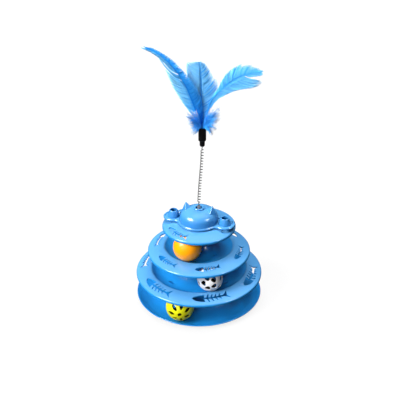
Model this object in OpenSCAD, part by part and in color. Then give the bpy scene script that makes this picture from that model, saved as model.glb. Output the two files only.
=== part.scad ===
// Stacked ball-track toy for cats: a moulded base tray, two track tiers and a top plate,
// three captive balls, a spinning cat-head top and a feather teaser on a spring.
// Millimetres, +Z up. The origin is on the table, on the axis of the tower.

/* [Tower] */
// Outer radius of the base tray and of the lower tier's flange
base_r = 90; // [86:0.5:96]
// Outer radius of the middle tier's flange
middle_r = 72.5; // [69:0.5:77]
// Outer radius of the top plate
top_r = 51.3; // [48:0.1:55]
// Wall thickness of the moulded tiers
wall = 1.6; // [1.2:0.1:2]
// Slope of the flanges, in degrees
flange_slope = 14.5; // [12:0.5:17]
// Radius of the rounded edge of each flange
lip_r = 2.6; // [2.2:0.1:3.2]
// Straight drop below that rounded edge
lip_drop = 0.8; // [0.4:0.1:2]
// How far the centre of the rounded edge lies below the tier's own track floor
lip_sink = 2.7; // [2:0.1:3.4]
// Radius of the crest between flange and track
crest_r = 4; // [3:0.1:5]

/* [Ball tracks] */
// Distance from the edge of the base tray to the middle of its track
base_track_in = 17.5; // [16:0.5:20]
// Track radius on the lower tier
lower_track_r = 55; // [53:0.5:57]
// Track radius on the middle tier
middle_track_r = 34.8; // [34:0.2:37]
// Height of the base track's floor above the table
base_floor_z = 3.2; // [3:0.1:5]
// Radius of the base floor's outer sweep up to the rim
rim_sweep_r = 40; // [34:1:60]
// Room between a ball and the inner curve of its track
track_room = 2.5; // [2:0.1:3]
// Room between each ball and the tier over it
head_room = 0.35; // [0.3:0.05:1]

/* [Tier joints] */
// Number of snap hooks on each tier
hook_count = 4; // [3:1:6]
// Width of a snap hook along the ring
hook_w = 6; // [4:0.5:8]
// Thickness of a snap hook
hook_t = 1.4; // [1.2:0.1:2]
// How far a hook's catch reaches under the deck
catch_t = 1; // [0.8:0.1:1.4]
// Length of the slots in the lower track
slot_l = 10.4; // [8:0.2:12]
// Width of the slots in the lower track
slot_w = 4.2; // [3:0.2:5]
// How far the slots lie inside the track's lowest ring
slot_in = 2; // [0:0.2:3]
// Depth of the seat between a tier's floor and the deck it stands on
seat_drop = 3.2; // [2.8:0.1:4]
// Width of the deck ring inside the top of each drum
deck_w = 8; // [7:0.5:10]
// Inward draft of each drum's wall
draft = 0.6; // [0.2:0.1:1]
// Clearance between moulded pieces that slide together
fit_gap = 0.2; // [0.1:0.05:0.3]

/* [Feet] */
// Number of rubber feet
foot_count = 4; // [3:1:8]
// Radius of a rubber foot
foot_r = 6; // [4:0.5:7]
// Height of a rubber foot
foot_h = 1.2; // [0.8:0.1:1.4]

/* [Fish cut-outs] */
// Number of fish round the lower and middle flanges
fish_count = 6; // [4:1:6]
// Number of fish round the top plate
top_fish_count = 3; // [2:1:4]
// Length of a fish on the lower flange
lower_fish_l = 52; // [40:1:56]
// Length of a fish on the middle flange
middle_fish_l = 36; // [30:1:42]
// Length of a fish on the top plate
top_fish_l = 38; // [30:1:40]
// Height of a fish's tail as a share of its length
fish_height = 0.26; // [0.2:0.01:0.3]
// Direction of the first fish, in degrees right of the front
fish_first = 12; // [0:1:59]

/* [Balls] */
// Diameter of the yellow ball in the base track
yellow_d = 39; // [36:0.2:41]
// Diameter of the white ball on the lower tier
white_d = 35.6; // [33:0.2:38]
// Diameter of the orange ball on the middle tier
orange_d = 39.4; // [37:0.2:41]
// Wall thickness of the balls
ball_wall = 1.6; // [1.2:0.1:2]
// Gap under each resting ball
ball_gap = 0.3; // [0.2:0.05:0.5]
// Place of the yellow ball, in degrees right of the front
yellow_at = -21; // [-180:1:180]
// Place of the white ball
white_at = 16; // [-180:1:180]
// Place of the orange ball
orange_at = -27; // [-180:1:180]

/* [Jingle bells] */
// Radius of a jingle bell
bell_r = 6; // [5:0.1:7]
// Wall thickness of a bell
bell_wall = 0.6; // [0.5:0.05:0.8]
// Radius of the pellet in a bell
pellet_r = 1.8; // [1.4:0.1:2.2]

/* [Spinner] */
// Radius of the round skirt under the cat's head
skirt_r = 29.5; // [29:0.5:32]
// Radius of the saucer at each end
saucer_r = 14.5; // [13:0.5:16]
// Distance from the axis to each saucer's centre
saucer_x = 37.5; // [36:0.5:40]
// Radius of the fillet between skirt and saucers
neck_fillet_r = 8; // [6:0.5:10]
// Thickness of the skirt
skirt_t = 2; // [1.6:0.1:2.6]
// Radius of the bead round the skirt's edge
bead_r = 1.8; // [1.4:0.1:2]
// Radius of the cat's head
head_r = 26.8; // [25:0.2:27.2]
// Height of the cat's head above the skirt
head_h = 18; // [15:0.2:20]
// Bore radius of the three sockets
socket_r = 4.8; // [4.4:0.1:5.2]
// Outer radius of the ring round the head's socket
ring_r = 7.4; // [6.8:0.1:8.4]
// Height of the socket cups
cup_h = 9.6; // [8:0.2:12]
// Depth of the bores in the socket cups
cup_depth = 8.6; // [6:0.2:9.4]
// Height of the ears above the head
ear_h = 6.4; // [5:0.2:9]
// Direction that the right saucer points to, in degrees from +X
spin_rest = -18.5; // [-180:0.5:180]
// Gap between the top plate's deck and the skirt
spin_gap = 1.2; // [1.1:0.1:2]
// Running clearance on the spindle
spin_clear = 0.08; // [0.05:0.01:0.1]
// Radius of the bearing bore in the top plate
bearing_r = 4.5; // [4:0.1:5]

/* [Teaser] */
// Radius of the spring's coil, to the middle of its wire
coil_r = 1.8; // [1.4:0.1:2.2]
// Radius of the spring's wire
wire_r = 0.4; // [0.3:0.05:0.5]
// Number of coils
coil_n = 21; // [16:1:24]
// Height of the sprung stretch
spring_h = 89; // [75:1:100]
// How far the spring leans to the right
spring_lean = 4.4; // [0:0.2:8]
// Radius of the feather sleeve
sleeve_r = 5.2; // [4.6:0.1:6]
// Length of the feather sleeve
sleeve_h = 18.4; // [16:0.2:24]
// Radius of the clamp under the sleeve
clamp_r = 3.5; // [3:0.1:4]
// Length of the clamp below the sleeve
clamp_h = 7.5; // [6:0.5:10]
// Radius of a quill at its root
quill_r = 0.9; // [0.7:0.05:1]
// Height of the tallest feather above the sleeve
feather_h = 107.2; // [90:0.2:130]
// Height of the down plumes above the sleeve
down_h = 24; // [18:1:30]

/* [Hidden] */
$fn = 96;
eps = 0.01;
arc_n = 10;

// The lower flange covers the whole base tray
lower_r = base_r;
base_track_r = base_r - base_track_in;

// Radius of the inner curve of each track
base_curve_r = yellow_d / 2 + track_room;
lower_curve_r = white_d / 2 + track_room;
middle_curve_r = orange_d / 2 + track_room;

// The deck of the top plate starts where its flange reaches this radius
plate_deck_r = 36;
function plate_deck_up() = -lip_sink + lip_r / cos(flange_slope)
    + (top_r - lip_r - plate_deck_r) * tan(flange_slope);

// Least height of a tier's floor at which its underside clears the ball below:
// a ball of diameter d on a track of radius track_r, under a tier whose underside is given for floor 0
function floor_over(d, track_r, floor_z, under) =
    max([for (i = [0 : len(under) - 2], k = [0 : 8])
        let (p = under[i] + (under[i + 1] - under[i]) * k / 8,
             aside = p[0] - track_r,
             reach = d / 2 + head_room)
        if (abs(aside) < reach)
            floor_z + ball_gap + d / 2 + sqrt(pow(reach, 2) - pow(aside, 2)) - p[1]]);
lower_floor_z = floor_over(yellow_d, base_track_r, base_floor_z,
                           tier_top(wall, lower_r, lower_track_r, lower_curve_r, 0));
middle_floor_z = floor_over(white_d, lower_track_r, lower_floor_z,
                            tier_top(wall, middle_r, middle_track_r, middle_curve_r, 0));
plate_floor_z = floor_over(orange_d, middle_track_r, middle_floor_z, plate_side(wall, 0));

// Top radius of each drum, and the height of the deck that closes it
base_drum_r = base_track_r - base_curve_r - draft;
lower_drum_r = lower_track_r - lower_curve_r - draft;
middle_drum_r = middle_track_r - middle_curve_r - draft;
base_deck_z = lower_floor_z - seat_drop;
lower_deck_z = middle_floor_z - seat_drop;

plate_deck_z = plate_floor_z + plate_deck_up();
plate_seat_z = plate_deck_z - seat_drop;
plate_tube_h = 9;
plate_tube_t = 1.8;

// Spindle and bearing
collar_r = 8;
collar_up = 0.8;
collar_down = 5;
thrust_gap = 0.25;
thrust_z = plate_deck_z + collar_up + thrust_gap;
journal_end_z = plate_deck_z - collar_down - thrust_gap;
screw_r = 1.4;
screw_head_r = 3;
screw_head_h = 2;
screw_l = 9;
washer_r = 7;
washer_t = 1;

// Spinner heights
skirt_z = plate_deck_z + spin_gap;
skirt_top_z = skirt_z + skirt_t;
ring_up = 1.8;
head_power = 2.8;
ring_z = skirt_top_z + head_h + ring_up;
socket_floor_z = skirt_top_z + 3;

// Teaser heights
plug_h = 13.4;
anchor_base_r = 2.8;
anchor_tip_r = 1.9;
anchor_h = 6.3;
anchor_stem_r = 1.5;
anchor_stem_h = 6;
spring_z = socket_floor_z + plug_h + anchor_h;
clamp_z = spring_z + spring_h;
sleeve_z = clamp_z + clamp_h;
quill_seat_z = sleeve_z + 8;
sleeve_bore_r = 4;
sleeve_top_z = sleeve_z + sleeve_h;
sleeve_x = spring_lean;

TIER_BLUE = "#4d9fe6";
DEEP_BLUE = "#1f86dc";
FEATHER_BLUE = "#3f95e8";

// Turns a plan direction, in degrees right of the front, into an angle from +X
function plan(a) = a - 90;
function on_ring(r, a, z) = [r * cos(plan(a)), r * sin(plan(a)), z];
function reverse(list) = [for (i = [len(list) - 1 : -1 : 0]) list[i]];
function arc(c, r, a0, a1, n = arc_n) =
    [for (i = [0 : n]) let (a = a0 + (a1 - a0) * i / n) c + r * [cos(a), sin(a)]];

// Moulded tiers

// Angle at which the crest meets the outer side of a track
function crest_turn(edge_r, track_r, curve_r) =
    let (n = [sin(flange_slope), cos(flange_slope)],
         lip_c = [edge_r - lip_r, -lip_sink],
         track_c = [track_r, curve_r])
    acos((n * track_c + crest_r - lip_r - n * lip_c) / (curve_r + crest_r)) - flange_slope;

// Outer part of a tier's section, d inside its upper face: lip, flange, crest and track
function tier_top(d, edge_r, track_r, curve_r, floor_z) =
    let (turn = crest_turn(edge_r, track_r, curve_r),
         lip_c = [edge_r - lip_r, floor_z - lip_sink],
         track_c = [track_r, floor_z + curve_r],
         crest_c = track_c + (curve_r + crest_r) * [sin(turn), -cos(turn)])
    concat([[edge_r - d, lip_c[1] - lip_drop]],
           arc(lip_c, lip_r - d, 0, 90 - flange_slope),
           arc(crest_c, crest_r - d, 90 - flange_slope, 90 + turn),
           arc(track_c, curve_r + d, turn - 90, -180, 2 * arc_n));

// One side of a tier's whole section: its outer part, then the drum and the deck
function tier_side(d, edge_r, track_r, curve_r, floor_z, drum_r, deck_z, ring_w) =
    concat(tier_top(d, edge_r, track_r, curve_r, floor_z),
           [[drum_r - d, deck_z - d]],
           ring_w > 0 ? [[drum_r - ring_w, deck_z - d]] : []);

module tier_shell(edge_r, track_r, curve_r, floor_z, drum_r, deck_z, ring_w) {
    lip_end = [edge_r - wall / 2, floor_z - lip_sink - lip_drop];
    rotate_extrude()
        polygon(concat(
            tier_side(0, edge_r, track_r, curve_r, floor_z, drum_r, deck_z, ring_w),
            reverse(tier_side(wall, edge_r, track_r, curve_r, floor_z, drum_r,
                              ring_w > 0 ? deck_z : deck_z + wall, ring_w)),
            arc(lip_end, wall / 2, -180, 0, 6)));
}

// Height of a track's floor at radius r, on the drum's side
function track_z(r, track_r, curve_r, floor_z) =
    floor_z + curve_r - sqrt(pow(curve_r, 2) - pow(track_r - r, 2));

// Radius on which the hooks stand, from the drum that they snap into
function hook_at(drum_r) = drum_r - wall - 1.2 - hook_t / 2 - catch_t;
function hook_angle(i) = 45 + i * 360 / hook_count;

// A straight slot with round ends, along the ring at radius r
module ring_slot(r, a, length, width, z0, z1) {
    rotate(plan(a))
        translate([r, 0, z0]) {
            translate([-width / 2, -(length - width) / 2, 0])
                cube([width, length - width, z1 - z0]);
            for (side = [-1, 1])
                translate([0, side * (length - width) / 2, 0])
                    cylinder(r = width / 2, h = z1 - z0);
        }
}

// Slots in a drum's deck that the hooks of the tier above go through
module deck_slots(drum_r, deck_z) {
    for (i = [0 : hook_count - 1])
        ring_slot(hook_at(drum_r) + catch_t / 2, hook_angle(i), hook_w + 2 * fit_gap + hook_t,
                  hook_t + catch_t + 2 * fit_gap, deck_z - 2 * wall, deck_z + wall);
}

// Windows in a tier's floor, above the catches of its hooks
module hook_windows(drum_r, floor_z) {
    window_w = 3.2 * catch_t;
    for (i = [0 : hook_count - 1])
        ring_slot(hook_at(drum_r) + hook_t / 2 + window_w / 2, hook_angle(i), hook_w + window_w / 2, window_w,
                  floor_z - wall / 4, floor_z + seat_drop + wall);
}

// Slots in the lower track, in line with the hooks, through which hair and crumbs fall
module track_slots() {
    for (i = [0 : hook_count - 1])
        ring_slot(lower_track_r - slot_in, hook_angle(i), slot_l, slot_w,
                  lower_floor_z - 2 * wall, lower_floor_z + wall);
}

// Snap hooks under a tier: an arm through the deck slot and a sloped catch below the deck
module hooks(drum_r, deck_z, top_z) {
    tip_z = deck_z - wall - fit_gap;
    for (i = [0 : hook_count - 1])
        rotate(plan(hook_angle(i)))
            translate([hook_at(drum_r), hook_w / 2, 0])
                rotate([90, 0, 0])
                    linear_extrude(hook_w)
                        polygon([[-hook_t / 2, top_z], [hook_t / 2, top_z], [hook_t / 2, tip_z],
                                 [hook_t / 2 + catch_t, tip_z],
                                 [hook_t / 2, tip_z - 2 * catch_t], [-hook_t / 2, tip_z - 2 * catch_t]]);
}

// Ring under a tier that stands on the deck of the drum below
module seat_ring(drum_r, deck_z, top_z) {
    ring_t = 1.4;
    translate([0, 0, deck_z])
        difference() {
            cylinder(r = drum_r, h = top_z - deck_z);
            translate([0, 0, -eps])
                cylinder(r = drum_r - ring_t, h = top_z - deck_z + 2 * eps);
        }
}

// Fish cut-outs

// Bends a point of a flat fish onto the ring: x runs along the ring, y outwards
function bend(p, r) = (r + p[1]) * [cos(p[0] / r * 180 / PI), sin(p[0] / r * 180 / PI)];
module bent(points, r) {
    polygon([for (p = points) bend(p, r)]);
}

// A fish skeleton with its head towards -x: blunt head, spine, four pairs of ribs and a tail fin
module fish(length, r) {
    half = length / 2;
    tall = length * fish_height / 2;
    head_l = 0.34 * length;
    head_h = 0.86 * tall;
    spine = 0.026 * length;
    spine_x = -half + 0.9 * head_l;
    rib_n = 4;
    rib_w = 0.048 * length;
    rib_pitch = 0.108 * length;
    rib_lean = 0.045 * length;
    tail_x = half - 0.2 * length;
    notch = 0.06 * length;
    bent(concat(
        [for (i = [0 : 8]) let (t = i / 8) [-half + head_l * t, head_h * pow(sin(90 * t), 0.55)]],
        [[-half + head_l - 0.08 * head_l, 0]],
        [for (i = [8 : -1 : 1]) let (t = i / 8) [-half + head_l * t, -head_h * pow(sin(90 * t), 0.55)]]), r);
    bent(concat([for (i = [0 : 6]) [spine_x + (half - notch - spine_x) * i / 6, spine]],
                [for (i = [6 : -1 : 0]) [spine_x + (half - notch - spine_x) * i / 6, -spine]]), r);
    for (i = [0 : rib_n - 1], side = [-1, 1]) {
        x = -half + head_l + 0.03 * length + i * rib_pitch;
        reach = tall * (0.95 - 0.1 * i);
        bent([[x, 0], [x + rib_w, 0], [x + rib_lean + rib_w, side * reach],
              [x + rib_lean + 0.3 * rib_w, side * reach]], r);
    }
    bent([[tail_x, 0], [tail_x + 0.1 * length, 0.42 * tall], [half, tall], [half - 0.5 * notch, 0.5 * tall],
          [half - notch, 0], [half - 0.5 * notch, -0.5 * tall], [half, -tall],
          [tail_x + 0.1 * length, -0.42 * tall]], r);
}

module fish_ring(length, r, count, first, z0, z1) {
    for (i = [0 : count - 1])
        rotate(plan(first + i * 360 / count))
            translate([0, 0, z0])
                linear_extrude(z1 - z0)
                    fish(length, r);
}

// Radius on which the fish lie: midway between the crest and the flange's edge
function fish_at(edge_r, track_r, curve_r) =
    let (turn = crest_turn(edge_r, track_r, curve_r))
    (edge_r - lip_r + track_r + (curve_r + crest_r) * sin(turn)) / 2;

// Base tray: a shallow dish that sweeps up into the first drum
function tray_side(d) =
    let (rim_turn = asin((base_r - wall / 2 - base_track_r) / (rim_sweep_r + wall / 2)),
         drum_c = [base_track_r, base_floor_z + base_curve_r],
         sweep_c = [base_track_r, base_floor_z + rim_sweep_r])
    concat(arc(sweep_c, rim_sweep_r + d, rim_turn - 90, -90),
           arc(drum_c, base_curve_r + d, -90, -180, 2 * arc_n),
           [[base_drum_r - d, base_deck_z - d], [base_drum_r - deck_w, base_deck_z - d]]);

module base_tray() {
    outer = tray_side(0)[0];
    inner = tray_side(wall)[0];
    rim_a = atan2(outer[1] - inner[1], outer[0] - inner[0]);
    foot_ring_w = 2 * foot_r + 1;
    color(DEEP_BLUE)
        difference() {
            union() {
                rotate_extrude()
                    polygon(concat(tray_side(0), reverse(tray_side(wall)),
                                   arc((outer + inner) / 2, wall / 2, rim_a - 180, rim_a, 6)));
                rotate_extrude()
                    translate([base_track_r - foot_ring_w / 2, foot_h])
                        square([foot_ring_w, base_floor_z - foot_h - wall / 2]);
            }
            deck_slots(base_drum_r, base_deck_z);
        }
}

module rubber_feet() {
    color("#26282b")
        for (i = [0 : foot_count - 1])
            translate(on_ring(base_track_r, hook_angle(0) + i * 360 / foot_count, 0))
                cylinder(r = foot_r, h = foot_h);
}

module lower_tier() {
    seat_top = track_z(base_drum_r, lower_track_r, lower_curve_r, lower_floor_z) - wall / 2;
    hook_top = track_z(hook_at(base_drum_r), lower_track_r, lower_curve_r, lower_floor_z) - wall / 2;
    color(TIER_BLUE)
        difference() {
            union() {
                tier_shell(lower_r, lower_track_r, lower_curve_r, lower_floor_z,
                           lower_drum_r, lower_deck_z, deck_w);
                seat_ring(base_drum_r, base_deck_z, seat_top);
                hooks(base_drum_r, base_deck_z, hook_top);
            }
            fish_ring(lower_fish_l, fish_at(lower_r, lower_track_r, lower_curve_r), fish_count, fish_first,
                      lower_floor_z - lip_sink - lip_drop, lower_floor_z + 4 * crest_r);
            track_slots();
            deck_slots(lower_drum_r, lower_deck_z);
        }
}

module middle_tier() {
    seat_top = track_z(lower_drum_r, middle_track_r, middle_curve_r, middle_floor_z) - wall / 2;
    hook_top = track_z(hook_at(lower_drum_r), middle_track_r, middle_curve_r, middle_floor_z) - wall / 2;
    color(TIER_BLUE)
        difference() {
            union() {
                tier_shell(middle_r, middle_track_r, middle_curve_r, middle_floor_z,
                           middle_drum_r, plate_seat_z, 0);
                seat_ring(lower_drum_r, lower_deck_z, seat_top);
                hooks(lower_drum_r, lower_deck_z, hook_top);
            }
            fish_ring(middle_fish_l, fish_at(middle_r, middle_track_r, middle_curve_r), fish_count, fish_first,
                      middle_floor_z - lip_sink - lip_drop, middle_floor_z + 4 * crest_r);
            hook_windows(lower_drum_r, middle_floor_z);
        }
}

// Top plate: a flange round a flat deck, a tube over the drum below and a bearing for the spinner
function plate_side(d, floor_z) =
    let (lip_c = [top_r - lip_r, floor_z - lip_sink])
    concat([[top_r - d, lip_c[1] - lip_drop]],
           arc(lip_c, lip_r - d, 0, 90 - flange_slope),
           [[plate_deck_r - d * tan(flange_slope / 2), floor_z + plate_deck_up() - d]]);

module top_plate() {
    lip_end = [top_r - wall / 2, plate_floor_z - lip_sink - lip_drop];
    tube_r = middle_drum_r + fit_gap + draft;
    color(TIER_BLUE)
        difference() {
            union() {
                rotate_extrude()
                    polygon(concat(plate_side(0, plate_floor_z), [[0, plate_deck_z], [0, plate_deck_z - wall]],
                                   reverse(plate_side(wall, plate_floor_z)), arc(lip_end, wall / 2, -180, 0, 6)));
                translate([0, 0, plate_deck_z - plate_tube_h])
                    cylinder(r = tube_r + plate_tube_t, h = plate_tube_h - wall / 2);
                translate([0, 0, plate_deck_z - wall / 2])
                    cylinder(r = collar_r, h = collar_up + wall / 2);
            }
            difference() {
                translate([0, 0, plate_deck_z - plate_tube_h - eps])
                    cylinder(r = tube_r, h = plate_tube_h - seat_drop + eps);
                translate([0, 0, plate_deck_z - collar_down])
                    cylinder(r = collar_r, h = collar_down);
            }
            translate([0, 0, plate_deck_z - collar_down - plate_tube_h])
                cylinder(r = bearing_r, h = 2 * plate_tube_h + collar_down);
            fish_ring(top_fish_l, (top_r - lip_r + plate_deck_r) / 2, top_fish_count,
                      fish_first - 59, plate_floor_z - lip_sink - lip_drop, plate_deck_z + 2 * wall);
        }
}

// Spinner

// Centre of the fillet between the skirt and the right saucer
big = skirt_r + neck_fillet_r;
small = saucer_r + neck_fillet_r;
fillet_x = (pow(big, 2) - pow(small, 2) + pow(saucer_x, 2)) / (2 * saucer_x);
fillet_y = sqrt(pow(big, 2) - pow(fillet_x, 2));

// Plan outline of the skirt and its two saucers, inset all round
module skirt_outline(inset) {
    circle(r = skirt_r - inset);
    for (side = [-1, 1]) {
        translate([side * saucer_x, 0])
            circle(r = saucer_r - inset);
        difference() {
            polygon([[0, 0], [side * fillet_x, fillet_y], [side * saucer_x, 0], [side * fillet_x, -fillet_y]]);
            for (up = [-1, 1])
                translate([side * fillet_x, up * fillet_y])
                    circle(r = neck_fillet_r + inset);
        }
    }
}

// Points of an arc with the outward normal at each; out is -1 where the outline is hollow
function edge_arc(c, r, a0, a1, out, n) =
    [for (i = [0 : n - 1]) let (a = a0 + (a1 - a0) * i / n, way = [cos(a), sin(a)]) [c + r * way, out * way]];
function turned(edge) = [for (e = edge) [-e[0], -e[1]]];
function half_edge(inset) =
    let (skirt_a = atan2(fillet_y, fillet_x), saucer_a = atan2(fillet_y, fillet_x - saucer_x))
    concat(edge_arc([fillet_x, -fillet_y], neck_fillet_r + inset, 180 - skirt_a, 180 - saucer_a, -1, 8),
           edge_arc([saucer_x, 0], saucer_r - inset, -saucer_a, saucer_a, 1, 24),
           edge_arc([fillet_x, fillet_y], neck_fillet_r + inset, 180 + saucer_a, 180 + skirt_a, -1, 8),
           edge_arc([0, 0], skirt_r - inset, skirt_a, 180 - skirt_a, 1, 20));

// Round bead along the outline, swept as one closed loop
module skirt_bead() {
    edge = concat(half_edge(bead_r), turned(half_edge(bead_r)));
    bead_n = 8;
    count = len(edge);
    z = skirt_z + bead_r - spin_gap / 2;
    points = [for (e = edge, k = [0 : bead_n - 1])
                 let (a = 360 * (k + 0.5) / bead_n, p = e[0] + bead_r * cos(a) * e[1]) [p[0], p[1], z + bead_r * sin(a)]];
    faces = [for (i = [0 : count - 1], k = [0 : bead_n - 1])
                let (j = (i + 1) % count, m = (k + 1) % bead_n)
                each [[i * bead_n + k, i * bead_n + m, j * bead_n + k],
                      [i * bead_n + m, j * bead_n + m, j * bead_n + k]]];
    polyhedron(points, faces, convexity = 10);
}

// Height of the head's outer face above the skirt at radius r
function head_z(r, shrink) =
    (head_h - shrink) * pow(1 - pow(r / (head_r - shrink), head_power), 1 / head_power);
function head_side(shrink, r_end) =
    [for (i = [0 : 18]) let (a = 90 * i / 18, r = (head_r - shrink) * pow(cos(a), 2 / head_power))
        if (r > r_end) [r, skirt_top_z + (head_h - shrink) * pow(sin(a), 2 / head_power)]];

module cat_head() {
    inner_r = collar_r;
    rotate_extrude()
        polygon(concat([[head_r, skirt_z]], head_side(0, ring_r), [[ring_r, skirt_top_z + head_z(ring_r, 0)],
                       [ring_r, ring_z - 0.6], [ring_r - 0.6, ring_z], [0, ring_z],
                       [0, skirt_top_z + head_z(inner_r, wall)]],
                       [[inner_r, skirt_top_z + head_z(inner_r, wall)]],
                       reverse(head_side(wall, inner_r)), [[head_r - wall, skirt_z]]));
}

// An ear: a broad point with soft edges that stands on the head, its outer edge near the head's side
module ear_knob(out, aside, r) {
    translate([out, aside, skirt_top_z + head_z(norm([out, aside]), 0) - r])
        sphere(r = r, $fn = 20);
}
module ear() {
    tip_r = 0.9;
    foot_r = 1.6;
    foot = 0.66 * head_r;
    hull() {
        translate([foot + 1.6, 0.6, skirt_top_z + head_h + ear_h - tip_r]) sphere(r = tip_r, $fn = 20);
        ear_knob(0.9 * head_r, 0.4, foot_r);
        ear_knob(0.42 * head_r, 0.8, foot_r);
        ear_knob(foot, -0.21 * head_r, foot_r);
        ear_knob(foot, 0.18 * head_r, foot_r);
    }
}

// A socket cup on a saucer, narrowing to its mouth
module cup() {
    foot = socket_r + 4;
    mouth = socket_r + 1;
    rotate_extrude()
        polygon(concat([[0, skirt_z + wall / 2]], [[foot, skirt_z + wall / 2]],
                       [for (i = [0 : 8]) let (t = i / 8)
                           [foot - (foot - mouth) * pow(t, 1.25), skirt_top_z + (cup_h - 0.5) * t]],
                       [[mouth - 0.5, skirt_top_z + cup_h], [0, skirt_top_z + cup_h]]));
}

module spinner_shell() {
    color(TIER_BLUE)
        rotate(spin_rest)
            difference() {
                union() {
                    difference() {
                        union() {
                            translate([0, 0, skirt_z])
                                linear_extrude(skirt_t) skirt_outline(bead_r);
                            skirt_bead();
                        }
                        translate([0, 0, skirt_z - skirt_t])
                            cylinder(r = head_r - wall / 2, h = 3 * skirt_t);
                    }
                    cat_head();
                    translate([0, 0, thrust_z])
                        cylinder(r = collar_r, h = skirt_top_z + head_h - wall - thrust_z);
                    translate([0, 0, journal_end_z])
                        cylinder(r = bearing_r - spin_clear, h = thrust_z - journal_end_z + 1);
                    for (side = [-1, 1])
                        translate([side * saucer_x, 0, 0]) cup();
                    for (side = [0, 1])
                        mirror([side, 0, 0]) ear();
                }
                translate([0, 0, socket_floor_z])
                    cylinder(r = socket_r, h = ring_z);
                for (side = [-1, 1])
                    translate([side * saucer_x, 0, skirt_top_z + cup_h - cup_depth])
                        cylinder(r = socket_r, h = cup_h);
                translate([0, 0, journal_end_z - eps])
                    cylinder(r = screw_r + fit_gap / 4, h = screw_l);
            }
}

module spindle_washer() {
    color("silver")
        translate([0, 0, journal_end_z - washer_t])
            difference() {
                cylinder(r = washer_r, h = washer_t);
                translate([0, 0, -eps]) cylinder(r = screw_r + fit_gap, h = washer_t + 2 * eps);
            }
}

module spindle_screw() {
    recess_r = 1.2;
    color("silver")
        translate([0, 0, journal_end_z - washer_t])
            difference() {
                union() {
                    translate([0, 0, -screw_head_h]) cylinder(r = screw_head_r, h = screw_head_h);
                    translate([0, 0, -eps]) cylinder(r = screw_r, h = screw_l);
                }
                for (turn = [0, 90]) rotate(turn)
                    translate([-2 * recess_r, -recess_r / 4, -screw_head_h - eps])
                        cube([4 * recess_r, recess_r / 2, screw_head_h / 2]);
            }
}

// Teaser

module socket_plug() {
    color("#1b1c1e")
        translate([0, 0, socket_floor_z])
            difference() {
                rotate_extrude()
                    polygon([[0, 0], [socket_r - fit_gap / 4 - 0.5, 0], [socket_r - fit_gap / 4, 0.5],
                             [socket_r - fit_gap / 4, plug_h - 0.5], [socket_r - fit_gap / 4 - 0.5, plug_h],
                             [0, plug_h]]);
                translate([0, 0, plug_h - anchor_stem_h - fit_gap])
                    cylinder(r = anchor_stem_r + fit_gap / 4, h = anchor_stem_h + 1);
            }
}

module spring_anchor() {
    color("#8d9196")
        translate([0, 0, socket_floor_z + plug_h]) {
            translate([0, 0, -anchor_stem_h]) cylinder(r = anchor_stem_r, h = anchor_stem_h + 1);
            cylinder(r1 = anchor_base_r, r2 = anchor_tip_r, h = anchor_h);
        }
}

// Middle line of the spring's wire: straight at both ends, spiralling out to the coil and back
rings_per_coil = 8;
tube_sides = 6;
spring_rings = coil_n * rings_per_coil;
end_share = 1.5 / coil_n;
function smooth(t) = let (u = min(max(t, 0), 1)) u * u * (3 - 2 * u);
function coil_point(t) =
    let (swell = smooth(t / end_share) * smooth((1 - t) / end_share),
         a = -360 * coil_n * t,
         run = spring_h - 4 * wire_r)
    [spring_lean * smooth(t) + coil_r * swell * cos(a), coil_r * swell * sin(a),
     spring_z + 2 * wire_r + run * t];
spring_line = concat([[0, 0, spring_z]], [for (i = [0 : spring_rings]) coil_point(i / spring_rings)],
                     [[spring_lean, 0, clamp_z]]);
spring_gap = min([for (i = [0 : len(spring_line) - 1], j = [i + rings_per_coil / 2 : len(spring_line) - 1])
                     norm(spring_line[i] - spring_line[j])]) - 2 * wire_r;
echo(spring_least_gap = spring_gap);

// Sweeps rings of points into one closed skin of triangles
module skin(rings) {
    n = len(rings[0]);
    last = len(rings) - 1;
    points = [for (ring = rings) each ring];
    sides = [for (i = [0 : last - 1], k = [0 : n - 1])
                let (a = i * n + k, b = i * n + (k + 1) % n) each [[a, a + n, b], [b, a + n, b + n]]];
    caps = [for (k = [1 : n - 2]) each [[0, k, k + 1], [last * n, last * n + k + 1, last * n + k]]];
    polyhedron(points, concat(sides, caps), convexity = 10);
}

function unit(v) = v / norm(v);
// Direction of a line of points at point i, upright at both ends
function along(line, i) =
    i == 0 || i == len(line) - 1 ? [0, 0, 1] : unit(line[i + 1] - line[i - 1]);
function wire_ring(p, dir) =
    let (u = unit(cross(dir, [0.3, 1, 0.1])), v = cross(dir, u))
    [for (k = [0 : tube_sides - 1]) p + wire_r * (cos(-60 * k) * u + sin(-60 * k) * v)];

module spring() {
    color("silver")
        skin([for (i = [0 : len(spring_line) - 1]) wire_ring(spring_line[i], along(spring_line, i))]);
}

module spring_clamp() {
    stem_r = 2.6;
    stem_h = 5;
    color("#141415")
        translate([sleeve_x, 0, clamp_z])
            rotate_extrude()
                polygon([[0, 0], [clamp_r - 1, 0], [clamp_r, 1.4], [clamp_r, clamp_h], [stem_r, clamp_h],
                         [stem_r, clamp_h + stem_h], [0, clamp_h + stem_h]]);
}

module feather_sleeve() {
    stem_r = 2.6;
    stem_h = 5;
    color("#141415")
        translate([sleeve_x, 0, sleeve_z])
            difference() {
                rotate_extrude()
                    polygon([[0, 0], [sleeve_r - 1.2, 0], [sleeve_r, 1.2], [sleeve_r, sleeve_h - 0.4],
                             [sleeve_r - 0.4, sleeve_h], [0, sleeve_h]]);
                translate([0, 0, -eps]) cylinder(r = stem_r + fit_gap / 4, h = stem_h + fit_gap + eps);
                translate([0, 0, quill_seat_z - sleeve_z]) cylinder(r = sleeve_bore_r, h = sleeve_h);
            }
}

// Feathers: each a thin vane swept along the curve of its quill

function bezier(c, t) =
    pow(1 - t, 3) * c[0] + 3 * pow(1 - t, 2) * t * c[1] + 3 * (1 - t) * t * t * c[2] + pow(t, 3) * c[3];
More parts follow.
